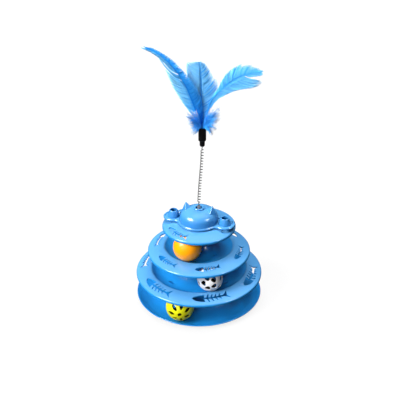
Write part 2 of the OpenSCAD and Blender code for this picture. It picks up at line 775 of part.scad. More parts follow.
// Width of a vane along its quill: bare up to start, fullest past the middle, then a round tip
function vane_share(t, start) =
    let (u = max(0, (t - start) / (1 - start))) pow(sin(180 * pow(u, 0.8)), 0.7);
feather_rings = 22;

// c: curve of the quill; wide: vane width to its left and right; face: where the vane looks
module feather(root, c, wide, face, start) {
    line = concat([[sleeve_x, 0, quill_seat_z] + root],
                  [for (i = [0 : feather_rings]) bezier(c, i / feather_rings)]);
    skin([for (i = [0 : len(line) - 1])
        let (t = max(0, (i - 1) / feather_rings),
             dir = i < 2 ? [0, 0, 1] : along(line, min(i, len(line) - 2)),
             side = unit(cross(dir, face)),
             out = cross(side, dir),
             body = quill_r * (1 - 0.6 * t),
             left = max(body, wide[0] * vane_share(t, start)),
             right = max(body, wide[1] * vane_share(t, start)),
             thin = body / 2)
        [line[i] - left * side + thin * out, line[i] + body * out, line[i] + right * side + thin * out,
         line[i] + right * side - thin * out, line[i] - body * out, line[i] - left * side - thin * out]]);
}

// Start of a quill's curve, at the mouth of the sleeve above its root
function quill_mouth(root) = [sleeve_x, 0, sleeve_top_z] + root;
// A point on a feather's curve, in shares of a height, measured from the middle of the sleeve's mouth
function from_mouth(h, p) = [sleeve_x, 0, sleeve_top_z] + h * p;

LEFT_ROOT = [-2, -0.4, 0];
UPRIGHT_ROOT = [0.2, 2.2, 0];
RIGHT_ROOT = [2.2, 0, 0];
LEFT_DOWN_ROOT = [-1.3, -2.6, 0];
RIGHT_DOWN_ROOT = [1.4, -2.4, 0];
BACK_DOWN_ROOT = [-2.3, 2, 0];
FRONT_FACE = [0, -1, 0];

module left_feather() {
    color(FEATHER_BLUE)
        feather(LEFT_ROOT, [quill_mouth(LEFT_ROOT), from_mouth(feather_h, [-0.082, -0.027, 0.345]),
                            from_mouth(feather_h, [-0.236, -0.055, 0.8]), from_mouth(feather_h, [-0.673, -0.036, 1])],
                feather_h * [0.1, 0.091], FRONT_FACE, 0.12);
}

module upright_feather() {
    color(FEATHER_BLUE)
        feather(UPRIGHT_ROOT, [quill_mouth(UPRIGHT_ROOT), from_mouth(feather_h, [0.009, 0.036, 0.255]),
                               from_mouth(feather_h, [-0.014, 0.055, 0.545]),
                               from_mouth(feather_h, [-0.042, 0.045, 0.818])],
                feather_h * [0.15, 0.182], FRONT_FACE, 0.1);
}

module right_feather() {
    color(FEATHER_BLUE)
        feather(RIGHT_ROOT, [quill_mouth(RIGHT_ROOT), from_mouth(feather_h, [0.045, -0.005, 0.382]),
                             from_mouth(feather_h, [0.2, -0.009, 0.673]), from_mouth(feather_h, [0.69, -0.027, 0.7])],
                feather_h * [0.118, 0.118], FRONT_FACE, 0.22);
}

module left_down_plume() {
    color(FEATHER_BLUE)
        feather(LEFT_DOWN_ROOT, [quill_mouth(LEFT_DOWN_ROOT), from_mouth(down_h, [-0.08, -0.21, 0.29]),
                                 from_mouth(down_h, [-0.42, -0.33, 0.5]), from_mouth(down_h, [-0.9, -0.38, 0.96])],
                down_h * [0.21, 0.21], FRONT_FACE, 0.1);
}

module right_down_plume() {
    color(FEATHER_BLUE)
        feather(RIGHT_DOWN_ROOT, [quill_mouth(RIGHT_DOWN_ROOT), from_mouth(down_h, [0.125, -0.21, 0.29]),
                                  from_mouth(down_h, [0.42, -0.33, 0.5]), from_mouth(down_h, [0.8, -0.38, 0.96])],
                down_h * [0.21, 0.21], FRONT_FACE, 0.1);
}

module back_down_plume() {
    color(FEATHER_BLUE)
        feather(BACK_DOWN_ROOT, [quill_mouth(BACK_DOWN_ROOT), from_mouth(down_h, [-0.13, 0.33, 0.29]),
                                 from_mouth(down_h, [-0.17, 0.54, 0.54]), from_mouth(down_h, [-0.08, 0.6, 1])],
                down_h * [0.21, 0.21], [1, 0, 0], 0.1);
}

// Balls

function ball_centre(track_r, at, floor_z, d) = on_ring(track_r, at, floor_z + ball_gap + d / 2);
YELLOW_C = ball_centre(base_track_r, yellow_at, base_floor_z, yellow_d);
WHITE_C = ball_centre(lower_track_r, white_at, lower_floor_z, white_d);
ORANGE_C = ball_centre(middle_track_r, orange_at, middle_floor_z, orange_d);

// One half of a hollow ball, its pole along +Z, with a fine bevel at the seam
module half_shell(d) {
    bevel = 0.25;
    rotate_extrude()
        difference() {
            circle(r = d / 2);
            circle(r = d / 2 - ball_wall);
            translate([-d, -d]) square([d, 2 * d]);
            translate([-d, -d]) square([2 * d, d]);
            translate([d / 2 - bevel, 0])
                polygon([[0, -bevel], [2 * bevel, -bevel], [2 * bevel, 2 * bevel]]);
        }
}

// Aims a child along the direction that leans from the pole by tilt, towards the side given by turn
module aimed(tilt, turn) {
    rotate([0, 0, turn]) rotate([0, tilt, 0]) children();
}

// Leaf-shaped hole, long along the meridian
module leaf(length, width) {
    r = (pow(length, 2) + pow(width, 2)) / (4 * width);
    half_a = asin(length / 2 / r);
    side = arc([0, width / 2 - r], r, 90 + half_a, 90 - half_a);
    polygon(concat(side, [for (i = [1 : arc_n - 1]) -side[i]]));
}

// Triangle with round corners
module round_triangle(size, corner) {
    polygon([for (k = [0 : 2]) let (way = 120 * k)
                each arc((size - corner) * [cos(way), sin(way)], corner, way - 60, way + 60, 5)]);
}

module yellow_half() {
    leaf_n = 7;
    leaf_tilt = 37;
    leaf_l = 0.28 * yellow_d;
    leaf_w = 0.13 * yellow_d;
    eye_r = 0.07 * yellow_d;
    difference() {
        half_shell(yellow_d);
        cylinder(r = eye_r, h = yellow_d);
        for (i = [0 : leaf_n - 1])
            aimed(leaf_tilt, (i + 0.5) * 360 / leaf_n)
                linear_extrude(yellow_d) leaf(leaf_l, leaf_w);
    }
}

module white_half() {
    inner_n = 5;
    inner_tilt = 27;
    outer_n = 8;
    outer_tilt = 62;
    hole_r = 0.115 * white_d;
    corner = 0.58 * hole_r;
    difference() {
        half_shell(white_d);
        for (i = [0 : inner_n - 1])
            aimed(inner_tilt, i * 360 / inner_n)
                linear_extrude(white_d) rotate(20 + 50 * i) round_triangle(hole_r, corner);
        for (i = [0 : outer_n - 1])
            aimed(outer_tilt, (i + 0.5) * 360 / outer_n)
                linear_extrude(white_d)
                    if (i % 2 == 0) circle(r = 0.8 * hole_r);
                    else rotate(30 + 25 * i) round_triangle(hole_r, corner);
    }
}

// Sets a half with its pole to the front or the back, its plane upright
module ball_half(centre, back, yaw, pitch) {
    translate(centre)
        rotate([0, 0, yaw]) rotate([90 - pitch, 0, 0]) rotate([back ? 180 : 0, 0, 0])
            children();
}
WHITE_YAW = -4;
WHITE_PITCH = 9;
WHITE_TURN = 40;

module yellow_ball_front_half() { color("#e8e61e") ball_half(YELLOW_C, false, 0, 0) yellow_half(); }
module yellow_ball_back_half() { color("#e8e61e") ball_half(YELLOW_C, true, 0, 0) yellow_half(); }
module white_ball_front_half() {
    color("white") ball_half(WHITE_C, false, WHITE_YAW, WHITE_PITCH) rotate(WHITE_TURN) white_half();
}
module white_ball_back_half() {
    color("white") ball_half(WHITE_C, true, WHITE_YAW, WHITE_PITCH) rotate(WHITE_TURN) white_half();
}
module orange_ball_front_half() { color("orange") ball_half(ORANGE_C, false, 0, 0) half_shell(orange_d); }
module orange_ball_back_half() { color("orange") ball_half(ORANGE_C, true, 0, 0) half_shell(orange_d); }

// Jingle bell that lies at the bottom of a ball: two cupped halves with a seam, a slot and a loop
seam_t = 0.4;
function bell_centre(ball_c, d) = ball_c - [0, 0, d / 2 - ball_wall - ball_gap - bell_r - seam_t];

module jingle_bell() {
    slot_w = 1.4;
    loop_r = 1.6;
    loop_wire = 0.45;
    difference() {
        union() {
            sphere(r = bell_r);
            translate([0, 0, -seam_t]) cylinder(r = bell_r + seam_t, h = 2 * seam_t);
        }
        sphere(r = bell_r - bell_wall);
        translate([-bell_r, -slot_w / 2, -2 * bell_r]) cube([2 * bell_r, slot_w, 1.4 * bell_r]);
    }
    translate([0, 0, bell_r + loop_r - loop_wire])
        rotate([90, 0, 0])
            rotate_extrude() translate([loop_r, 0]) circle(r = loop_wire, $fn = 24);
}

module pellet() { sphere(r = pellet_r); }
pellet_drop = bell_r - bell_wall - pellet_r - ball_gap;

module yellow_bell() { color("gold") translate(bell_centre(YELLOW_C, yellow_d)) jingle_bell(); }
module white_bell() { color("gold") translate(bell_centre(WHITE_C, white_d)) jingle_bell(); }
module yellow_bell_pellet() {
    color("silver") translate(bell_centre(YELLOW_C, yellow_d) - [0, 0, pellet_drop]) pellet();
}
module white_bell_pellet() {
    color("silver") translate(bell_centre(WHITE_C, white_d) - [0, 0, pellet_drop]) pellet();
}

base_tray();
rubber_feet();
lower_tier();
middle_tier();
top_plate();
spinner_shell();
spindle_washer();
spindle_screw();
socket_plug();
spring_anchor();
spring();
spring_clamp();
feather_sleeve();
left_feather();
upright_feather();
right_feather();
left_down_plume();
right_down_plume();
back_down_plume();
yellow_ball_front_half();
yellow_ball_back_half();
yellow_bell();
yellow_bell_pellet();
white_ball_front_half();
white_ball_back_half();
white_bell();
white_bell_pellet();
orange_ball_front_half();
orange_ball_back_half();
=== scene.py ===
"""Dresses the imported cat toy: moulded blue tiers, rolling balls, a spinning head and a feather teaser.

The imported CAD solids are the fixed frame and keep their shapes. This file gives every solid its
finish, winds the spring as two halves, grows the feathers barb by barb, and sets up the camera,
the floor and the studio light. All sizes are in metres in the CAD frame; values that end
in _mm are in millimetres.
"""

from __future__ import annotations

import logging
import math
from dataclasses import dataclass, replace
from enum import Enum
from typing import Any, Mapping, Sequence

import bpy
import numpy as np
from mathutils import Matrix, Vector

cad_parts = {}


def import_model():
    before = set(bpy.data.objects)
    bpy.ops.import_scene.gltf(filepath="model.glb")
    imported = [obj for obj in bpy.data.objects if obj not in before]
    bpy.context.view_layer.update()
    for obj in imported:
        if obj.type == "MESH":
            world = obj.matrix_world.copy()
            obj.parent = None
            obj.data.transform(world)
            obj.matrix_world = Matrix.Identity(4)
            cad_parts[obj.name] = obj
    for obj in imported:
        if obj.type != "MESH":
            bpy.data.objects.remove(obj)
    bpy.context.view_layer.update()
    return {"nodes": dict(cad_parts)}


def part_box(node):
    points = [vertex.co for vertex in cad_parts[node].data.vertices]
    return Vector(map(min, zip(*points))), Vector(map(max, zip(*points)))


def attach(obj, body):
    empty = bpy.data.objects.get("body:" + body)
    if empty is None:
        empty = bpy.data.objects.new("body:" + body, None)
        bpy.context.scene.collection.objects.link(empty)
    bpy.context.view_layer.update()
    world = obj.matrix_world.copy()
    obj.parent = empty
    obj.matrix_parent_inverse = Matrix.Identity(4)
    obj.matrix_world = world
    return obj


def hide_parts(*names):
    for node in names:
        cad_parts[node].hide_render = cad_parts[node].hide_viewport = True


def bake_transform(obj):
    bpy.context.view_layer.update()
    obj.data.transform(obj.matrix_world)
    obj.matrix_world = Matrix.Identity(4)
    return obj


LOG = logging.getLogger("cat_toy")
MM = 0.001
CREASE_DEG = 28.0
SAME_SPOT_MM = 0.002
HEADING_STEPS = 200.0
CORNER_FACETS = 12
LEAN_SPAN_MM = 20.0
TONE = "tone"

Colour = tuple[float, float, float]
Point2 = tuple[float, float]
Point3 = tuple[float, float, float]


class Axis(Enum):
    """Components of a point."""

    X = 0
    Y = 1
    Z = 2


# Shader expressions


class Sock:
    """An output socket that takes part in Python expressions, each adding a Math node."""

    def __init__(self, kit: "ShaderKit", socket: bpy.types.NodeSocket | None) -> None:
        """Args:
            kit: The material that the socket belongs to.
            socket: The output socket, or None after the material's last node.
        """
        self.kit = kit
        self.socket = socket

    def _math(self, operation: str, first: Any, second: Any) -> "Sock":
        """Adds a Math node.

        Args:
            operation: Blender's name of the operation.
            first: The first operand, a socket or a number.
            second: The second operand.

        Returns:
            The node's result.
        """
        return self.kit.add("ShaderNodeMath", {"operation": operation}, {0: first, 1: second})

    def __add__(self, other: Any) -> "Sock":
        """Sum."""
        return self._math("ADD", self, other)

    def __radd__(self, other: Any) -> "Sock":
        """Sum with a number on the left."""
        return self._math("ADD", other, self)

    def __sub__(self, other: Any) -> "Sock":
        """Difference."""
        return self._math("SUBTRACT", self, other)

    def __rsub__(self, other: Any) -> "Sock":
        """Difference with a number on the left."""
        return self._math("SUBTRACT", other, self)

    def __mul__(self, other: Any) -> "Sock":
        """Product."""
        return self._math("MULTIPLY", self, other)

    def __rmul__(self, other: Any) -> "Sock":
        """Product with a number on the left."""
        return self._math("MULTIPLY", other, self)


class ShaderKit:
    """One material and the nodes that make it."""

    def __init__(self, name: str) -> None:
        """Starts an empty node material.

        Args:
            name: The material's name.
        """
        self.material = bpy.data.materials.new(name)
        self.material.use_nodes = True
        self.tree = self.material.node_tree
        self.tree.nodes.clear()

    def add(
        self,
        kind: str,
        settings: Mapping[str, Any] | None = None,
        values: Mapping[Any, Any] | None = None,
        output: int | str = 0,
    ) -> Sock:
        """Adds a node, sets it up and fills its inputs.

        Args:
            kind: The node's type.
            settings: Its properties; "stops" gives a colour ramp's positions and colours.
            values: Numbers, colours or sockets for its inputs, by name or index.
            output: The output to hand back, by name or index.

        Returns:
            The chosen output.
        """
        node = self.tree.nodes.new(kind)
        for key, value in (settings or {}).items():
            if key == "stops":
                self._set_stops(node.color_ramp, value)
            else:
                setattr(node, key, value)
        for key, value in (values or {}).items():
            if isinstance(value, Sock):
                self.tree.links.new(value.socket, node.inputs[key])
            else:
                node.inputs[key].default_value = value
        return Sock(self, node.outputs[output] if node.outputs else None)

    @staticmethod
    def _set_stops(ramp: bpy.types.ColorRamp, stops: Sequence[tuple[float, Colour]]) -> None:
        """Writes a ramp's stops.

        Args:
            ramp: The colour ramp.
            stops: Positions and colours, from left to right.
        """
        while len(ramp.elements) < len(stops):
            ramp.elements.new(0.5)
        for element, (position, colour) in zip(ramp.elements, stops):
            element.position = position
            element.color = (*colour, 1.0)

    def place(self) -> Sock:
        """Gives the point on the object in its own frame, in metres."""
        return self.add("ShaderNodeTexCoord", output="Object")

    def from_axis(self) -> Sock:
        """Gives the distance from the object's own Z axis, in metres."""
        level = {0: self.place(), 1: (1.0, 1.0, 0.0)}
        flat = self.add("ShaderNodeVectorMath", {"operation": "MULTIPLY"}, level)
        return self.add("ShaderNodeVectorMath", {"operation": "LENGTH"}, {0: flat}, "Value")

    def upward(self) -> Sock:
        """Gives how far the surface faces up in its own frame, from -1 to 1."""
        normal = self.add("ShaderNodeTexCoord", output="Normal")
        return self.add("ShaderNodeSeparateXYZ", values={0: normal}, output="Z")

    def openness(self, reach: float) -> Sock:
        """Tells open faces from the insides of narrow hollows of the same piece.

        Args:
            reach: How far away a facing wall still counts, in metres.

        Returns:
            0 deep in a hollow, 1 on an open face.
        """
        settings = {"only_local": True, "samples": 8}
        seen = self.add("ShaderNodeAmbientOcclusion", settings, {"Distance": reach}, "AO")
        return self.ease(seen, start=0.15, end=0.65)

    def noise(self, scale: float, detail: float = 3.0, roughness: float = 0.5) -> Sock:
        """Adds a noise field over the object.

        Args:
            scale: Features per metre.
            detail: Octaves.
            roughness: Weight of the finer octaves.

        Returns:
            The field, about 0 to 1.
        """
        return self.add(
            "ShaderNodeTexNoise",
            {"noise_dimensions": "3D"},
            {"Vector": self.place(), "Scale": scale, "Detail": detail, "Roughness": roughness},
            "Factor" if bpy.app.version >= (5, 0, 0) else "Fac",
        )

    def mix(self, factor: Any, first: Any, second: Any) -> Sock:
        """Mixes two colours.

        Args:
            factor: Share of the second colour, a number or a socket.
            first: Colour or socket at factor 0.
            second: Colour or socket at factor 1.

        Returns:
            The mixed colour.
        """
        spread = [value if isinstance(value, Sock) else (*value, 1.0) for value in (first, second)]
        return self.add(
            "ShaderNodeMix",
            {"data_type": "RGBA"},
            {0: factor, 6: spread[0], 7: spread[1]},
            2,
        )

    def ease(self, value: Sock, start: float, end: float) -> Sock:
        """Maps a value to 0 at start and 1 at end, with flat ends.

        Args:
            value: The value to map.
            start: Where the result is 0.
            end: Where the result is 1.

        Returns:
            The eased share.
        """
        return self.add(
            "ShaderNodeMapRange",
            {"interpolation_type": "SMOOTHSTEP"},
            {"Value": value, "From Min": start, "From Max": end},
        )

    def bump(self, height: Sock, strength: float, distance: float) -> Sock:
        """Turns a height field into a normal.

        Args:
            height: The field.
            strength: How much of it shows.
            distance: Height of one unit, in metres.

        Returns:
            The normal.
        """
        values = {"Height": height, "Strength": strength, "Distance": distance}
        return self.add("ShaderNodeBump", values=values)

    def finish(self, values: Mapping[str, Any]) -> bpy.types.Material:
        """Closes the material with a Principled shader.

        Args:
            values: Inputs of the shader.

        Returns:
            The finished material.
        """
        shader = self.add("ShaderNodeBsdfPrincipled", values=values)
        self.add("ShaderNodeOutputMaterial", values={"Surface": shader})
        return self.material


# Finishes


@dataclass(frozen=True)
class MouldedPlastic:
    """Glossy injection-moulded plastic with a faint flow pattern and a fine skin.

    Faces that look up are given a paler colour, as painted light, and upright walls a deeper colour,
    as painted shade. A tier's covered track, inside the track edge radius, is given the walls' painted
    shade too, and narrow hollows the deepest painted shade.
    """

    name: str
    colour: Colour
    flow_colour: Colour
    # Colour of upright walls: painted shade, deeper than the paler painted light of faces that look up.
    painted_shade_upright_colour: Colour
    # Colour of narrow hollows: the deepest painted shade.
    painted_shade_colour: Colour = (0.0, 0.06, 0.18)
    # Radius inside which a tier's track is given the walls' painted shade.
    painted_shade_track_edge_mm: float = 0.0
    roughness: float = 0.26
    coat: float = 0.4
    specular: float = 0.5
    skin: float = 0.12

    def make(self) -> bpy.types.Material:
        """Builds the material.

        Returns:
            The plastic.
        """
        kit = ShaderKit(self.name)
        flow = kit.noise(scale=14.0, detail=2.0)
        skin = kit.noise(scale=1400.0, detail=2.0)
        handling = kit.noise(scale=60.0, detail=4.0, roughness=0.6)
        # Painted light and shade: faces that look up get the paler colour, upright walls the deeper one.
        painted_light_share = kit.ease(kit.upward(), start=0.25, end=0.95)
        # Inside the track edge the track floor also gets the walls' painted shade.
        if self.painted_shade_track_edge_mm:
            inner, outer = (self.painted_shade_track_edge_mm - 2.0) * MM, self.painted_shade_track_edge_mm * MM
            painted_light_share = painted_light_share * kit.ease(kit.from_axis(), inner, outer)
        flat_colour = kit.mix(flow, self.colour, self.flow_colour)
        open_colour = kit.mix(painted_light_share, self.painted_shade_upright_colour, flat_colour)
        return kit.finish(
            {
                # Narrow hollows get painted shade, masked by a local occlusion node.
                "Base Color": kit.mix(kit.openness(reach=0.01), self.painted_shade_colour, open_colour),
                "Roughness": self.roughness + 0.06 * (handling - 0.5),
                "Coat Weight": self.coat,
                "Coat Roughness": 0.12,
                "Specular IOR Level": self.specular,
                "Normal": kit.bump(skin, strength=self.skin, distance=0.04 * MM),
            }
        )


@dataclass(frozen=True)
class BallPlastic:
    """Glossy ball plastic with painted shade on the hollow inner side of the shell."""

    name: str
    colour: Colour
    flow_colour: Colour
    # Colour painted on the inner side of the shell, as painted shade.
    painted_shade_colour: Colour
    roughness: float = 0.3
    coat: float = 0.15

    def make(self, centre: Point3, radius: float, wall: float) -> bpy.types.Material:
        """Builds the material for one ball.

        Args:
            centre: The ball's centre in its own frame, in metres.
            radius: The ball's outer radius in metres.
            wall: The shell's thickness in metres.

        Returns:
            The plastic.
        """
        kit = ShaderKit(self.name)
        flow = kit.noise(scale=30.0, detail=2.0)
        skin = kit.noise(scale=1500.0, detail=2.0)
        ends = {0: kit.place(), 1: centre}
        away = kit.add("ShaderNodeVectorMath", {"operation": "DISTANCE"}, ends, "Value")
        # Painted shade mask: 1 on the inner side of the shell, which is also made rougher and uncoated.
        hollow = kit.ease(away, radius - 0.3 * wall, radius - 0.9 * wall)
        outside = kit.mix(flow, self.colour, self.flow_colour)
        return kit.finish(
            {
                "Base Color": kit.mix(hollow, outside, self.painted_shade_colour),
                "Roughness": self.roughness + 0.08 * (flow - 0.5) + 0.6 * hollow,
                "Coat Weight": self.coat - self.coat * hollow,
                "Coat Roughness": 0.06,
                "Normal": kit.bump(skin, strength=0.1, distance=0.03 * MM),
            }
        )


@dataclass(frozen=True)
class BrightMetal:
    """Drawn or turned metal with fine streaks."""

    name: str
    colour: Colour
    roughness: float = 0.28

    def make(self) -> bpy.types.Material:
        """Builds the material.

        Returns:
            The metal.
        """
        kit = ShaderKit(self.name)
        streak = kit.noise(scale=900.0, detail=4.0, roughness=0.7)
        return kit.finish(
            {
                "Base Color": kit.mix(streak * 0.5, self.colour, tuple(0.75 * c for c in self.colour)),
                "Roughness": self.roughness + 0.16 * (streak - 0.5),
                "Metallic": 1.0,
                "Normal": kit.bump(streak, strength=0.15, distance=0.03 * MM),
            }
        )


@dataclass(frozen=True)
class SoftRubber:
    """Matt black rubber or satin black plastic."""

    name: str
    colour: Colour
    roughness: float
    specular: float = 0.4

    def make(self) -> bpy.types.Material:
        """Builds the material.

        Returns:
            The rubber.
        """
        kit = ShaderKit(self.name)
        grain = kit.noise(scale=2200.0, detail=3.0)
        return kit.finish(
            {
                "Base Color": kit.mix(grain, self.colour, tuple(1.6 * c for c in self.colour)),
                "Roughness": self.roughness + 0.12 * (grain - 0.5),
                "Specular IOR Level": self.specular,
                "Normal": kit.bump(grain, strength=0.2, distance=0.05 * MM),
            }
        )


@dataclass(frozen=True)
class DyedFeather:
    """Dyed barbs whose tone runs from deep at the shaft to pale at the tips."""

    name: str
    deep: Colour
    middle: Colour
    pale: Colour

    def make(self) -> bpy.types.Material:
        """Builds the material from the tone that each barb carries.

        Returns:
            The feather.
        """
        kit = ShaderKit(self.name)
        tone = kit.add("ShaderNodeAttribute", {"attribute_name": TONE}, output="Fac")
        ramp = kit.add(
            "ShaderNodeValToRGB",
            {"stops": [(0.0, self.deep), (0.5, self.middle), (1.0, self.pale)]},
            {0: tone},
        )
        strands = kit.noise(scale=500.0, detail=3.0)
        return kit.finish(
            {
                "Base Color": kit.mix(strands * 0.25, ramp, self.deep),
                "Roughness": 0.55 + 0.15 * (strands - 0.5),
                "Specular IOR Level": 0.15,
            }
        )


# Flat colours are paler, as painted light; upright colours are deeper, as painted shade.
PLATE_BLUE = MouldedPlastic(
    name="plate_blue_plastic",
    colour=(0.058, 0.225, 0.47),
    flow_colour=(0.063, 0.235, 0.49),
    painted_shade_upright_colour=(0.01, 0.215, 0.56),
)
LOWER_BLUE = replace(PLATE_BLUE, name="lower_blue_plastic", painted_shade_track_edge_mm=68.6)
MIDDLE_BLUE = replace(PLATE_BLUE, name="middle_blue_plastic", painted_shade_track_edge_mm=48.8)
SPINNER_BLUE = replace(PLATE_BLUE, name="spinner_blue_plastic", painted_shade_upright_colour=(0.034, 0.205, 0.52))
BASE_BLUE = MouldedPlastic(
    name="base_blue_plastic",
    colour=(0.008, 0.19, 0.52),
    flow_colour=(0.01, 0.20, 0.54),
    painted_shade_upright_colour=(0.004, 0.185, 0.54),
)
YELLOW = BallPlastic("yellow_plastic", (0.60, 0.60, 0.003), (0.64, 0.63, 0.008), (0.02, 0.02, 0.0))
WHITE = BallPlastic("white_plastic", (0.70, 0.70, 0.72), (0.74, 0.74, 0.75), (0.012, 0.012, 0.015))
ORANGE = BallPlastic("orange_plastic", (1.0, 0.33, 0.0), (1.0, 0.35, 0.002), (0.3, 0.09, 0.0))
STEEL = BrightMetal("turned_steel", (0.72, 0.71, 0.71), 0.5)
WIRE = BrightMetal("spring_wire", (0.045, 0.043, 0.043), 0.45)
# Bell brass made far darker than brass, as painted shade inside the balls.
BRASS_PAINTED_SHADE = BrightMetal("bell_brass", (0.14, 0.10, 0.035), 0.4)
FOOT_RUBBER = SoftRubber("foot_rubber", (0.03, 0.03, 0.033), 0.8)
BLACK = SoftRubber("black_sleeve_plastic", (0.003, 0.003, 0.0032), 0.36, 0.45)
FEATHER = DyedFeather("dyed_feather", (0.0, 0.22, 0.82), (0.045, 0.42, 0.97), (0.29, 0.72, 1.0))
DOWN = DyedFeather("down_plume", (0.005, 0.28, 0.94), (0.10, 0.50, 1.0), (0.66, 0.63, 0.57))

NODE_FINISHES: dict[str, Any] = {
    "base_tray": BASE_BLUE,
    "rubber_feet": FOOT_RUBBER,
    "lower_tier": LOWER_BLUE,
    "middle_tier": MIDDLE_BLUE,
    "top_plate": PLATE_BLUE,
    "spinner_shell": SPINNER_BLUE,
    "spindle_washer": STEEL,
    "spindle_screw": STEEL,
    "socket_plug": BLACK,
    "spring_anchor": STEEL,
    "spring_clamp": BLACK,
    "feather_sleeve": BLACK,
    "yellow_bell": BRASS_PAINTED_SHADE,
    "yellow_bell_pellet": STEEL,
    "white_bell": BRASS_PAINTED_SHADE,
    "white_bell_pellet": STEEL,
}


class FinishShelf:
    """Makes each finish once and hands it out again."""

    def __init__(self) -> None:
        """Starts with an empty shelf."""
        self._made: dict[str, bpy.types.Material] = {}

    def get(self, finish: Any) -> bpy.types.Material:
        """Gives a finish's material, making it on first use.

        Args:
            finish: One of the finishes above.

        Returns:
            Its material.
        """
        if finish.name not in self._made:
            self._made[finish.name] = finish.make()
        return self._made[finish.name]


# Meshes


class MeshHeap:
    """Gathers closed tubes and strips into one mesh, with a tone at each vertex."""

    def __init__(self) -> None:
        """Starts an empty heap."""
        self.points: list[np.ndarray] = []
        self.faces: list[tuple[int, ...]] = []
        self.tones: list[np.ndarray] = []
        self.count = 0

    def add_rings(self, rings: np.ndarray, tones: np.ndarray) -> None:
        """Adds a closed skin through rings of points.

        Args:
            rings: Points, as rings by sides by 3, in metres.
            tones: A tone for each ring.
        """
        ring_n, side_n, _ = rings.shape
        base = self.count
        for i in range(ring_n - 1):
            for k in range(side_n):
                a = base + i * side_n + k
                b = base + i * side_n + (k + 1) % side_n
                self.faces.append((a, b, b + side_n, a + side_n))
        self.faces.append(tuple(base + k for k in reversed(range(side_n))))
        last = base + (ring_n - 1) * side_n
        self.faces.append(tuple(last + k for k in range(side_n)))
        self.points.append(rings.reshape(-1, 3))
        self.tones.append(np.repeat(tones, side_n))
        self.count += ring_n * side_n

    def build(self, name: str, material: bpy.types.Material) -> bpy.types.Object:
        """Makes the object.

        Args:
            name: The piece's name.
            material: Its finish.

        Returns:
            The object, linked to the scene.
        """
        mesh = bpy.data.meshes.new(name)
        mesh.from_pydata(np.concatenate(self.points).tolist(), [], self.faces)
        layer = mesh.attributes.new(TONE, "FLOAT", "POINT")
        layer.data.foreach_set("value", np.concatenate(self.tones).astype(np.float32))
        mesh.shade_smooth()
        mesh.materials.append(material)
        piece = bpy.data.objects.new(name, mesh)
        bpy.context.scene.collection.objects.link(piece)
        return piece


def smooth_step(share: np.ndarray) -> np.ndarray:
    """Eases 0 to 1 with flat ends."""
    held = np.clip(share, 0.0, 1.0)
    return held * held * (3.0 - 2.0 * held)


def unit(vectors: np.ndarray) -> np.ndarray:
    """Scales each vector to length 1."""
    return vectors / np.maximum(np.linalg.norm(vectors, axis=-1, keepdims=True), 1e-12)


def tube_rings(line: np.ndarray, radii: np.ndarray, sides: int) -> np.ndarray:
    """Sweeps a round section along a line of points.

    Args:
        line: Points of the middle line.
        radii: Radius at each point.
        sides: Sides of the section.

    Returns:
        Rings of points, as points by sides by 3.
    """
    along = unit(np.gradient(line, axis=0))
    helper = np.array([0.3, 1.0, 0.1])
    across = unit(np.cross(along, helper))
    other = np.cross(along, across)
    angles = np.linspace(0.0, 2.0 * math.pi, sides, endpoint=False)[None, :, None]
    ring = np.cos(angles) * across[:, None, :] + np.sin(angles) * other[:, None, :]
    return line[:, None, :] + radii[:, None, None] * ring


def taper(ends_mm: Point2, share: np.ndarray) -> np.ndarray:
    """Gives radii in metres that run evenly from the first end to the second."""
    return (ends_mm[0] + (ends_mm[1] - ends_mm[0]) * share) * MM


def soften(mesh: bpy.types.Mesh, crease_deg: float) -> None:
    """Blends the normals of CAD faces that meet at a shallow angle, without moving a vertex.

    Args:
        mesh: A CAD mesh with the normals of its exact surfaces.
        crease_deg: Faces that meet at a larger angle keep their edge.
    """
    corner_n = len(mesh.loops)
    corner_vertex = np.empty(corner_n, np.int32)
    mesh.loops.foreach_get("vertex_index", corner_vertex)
    places = np.empty(len(mesh.vertices) * 3, np.float32)
    mesh.vertices.foreach_get("co", places)
    normals = np.empty(corner_n * 3, np.float32)
    mesh.corner_normals.foreach_get("vector", normals)
    spot = np.round(places.reshape(-1, 3)[corner_vertex] / (SAME_SPOT_MM * MM)).astype(np.int32)
    heading = np.round(normals.reshape(-1, 3) * HEADING_STEPS).astype(np.int32)
    facets, corner_facet = np.unique(np.hstack([spot, heading]), axis=0, return_inverse=True)
    spots, directions = facets[:, :3], unit(facets[:, 3:].astype(float))
    blended = directions.copy()
    limit = math.cos(math.radians(crease_deg))
    for step in range(1, CORNER_FACETS):
        meets = np.all(spots[step:] == spots[:-step], axis=1)
        meets &= np.einsum("ij,ij->i", directions[step:], directions[:-step]) > limit
        blended[step:][meets] += directions[:-step][meets]
        blended[:-step][meets] += directions[step:][meets]
    mesh.shade_smooth()
    mesh.normals_split_custom_set(unit(blended)[corner_facet.reshape(-1)].tolist())


def dress_solid(solid: bpy.types.Object, material: bpy.types.Material) -> None:
    """Gives a CAD solid its finish and soft shading.

    Args:
        solid: The CAD object.
        material: Its finish.
    """
    solid.data.materials.clear()
    solid.data.materials.append(material)
    soften(solid.data, CREASE_DEG)


# Sub-assemblies


@dataclass
class MouldedPieces:
    """The CAD solids that show as they are: each gets its finish and smooth faces."""

    finishes: Mapping[str, Any]

    def dress(self, nodes: Mapping[str, bpy.types.Object], shelf: FinishShelf) -> None:
        """Assigns the finishes and shades the curved faces smoothly.

        Args:
            nodes: The frame's CAD objects by name.
            shelf: The finishes.
        """
        for name, finish in self.finishes.items():
            dress_solid(nodes[name], shelf.get(finish))
            LOG.info("dressed %s with %s", name, finish.name)


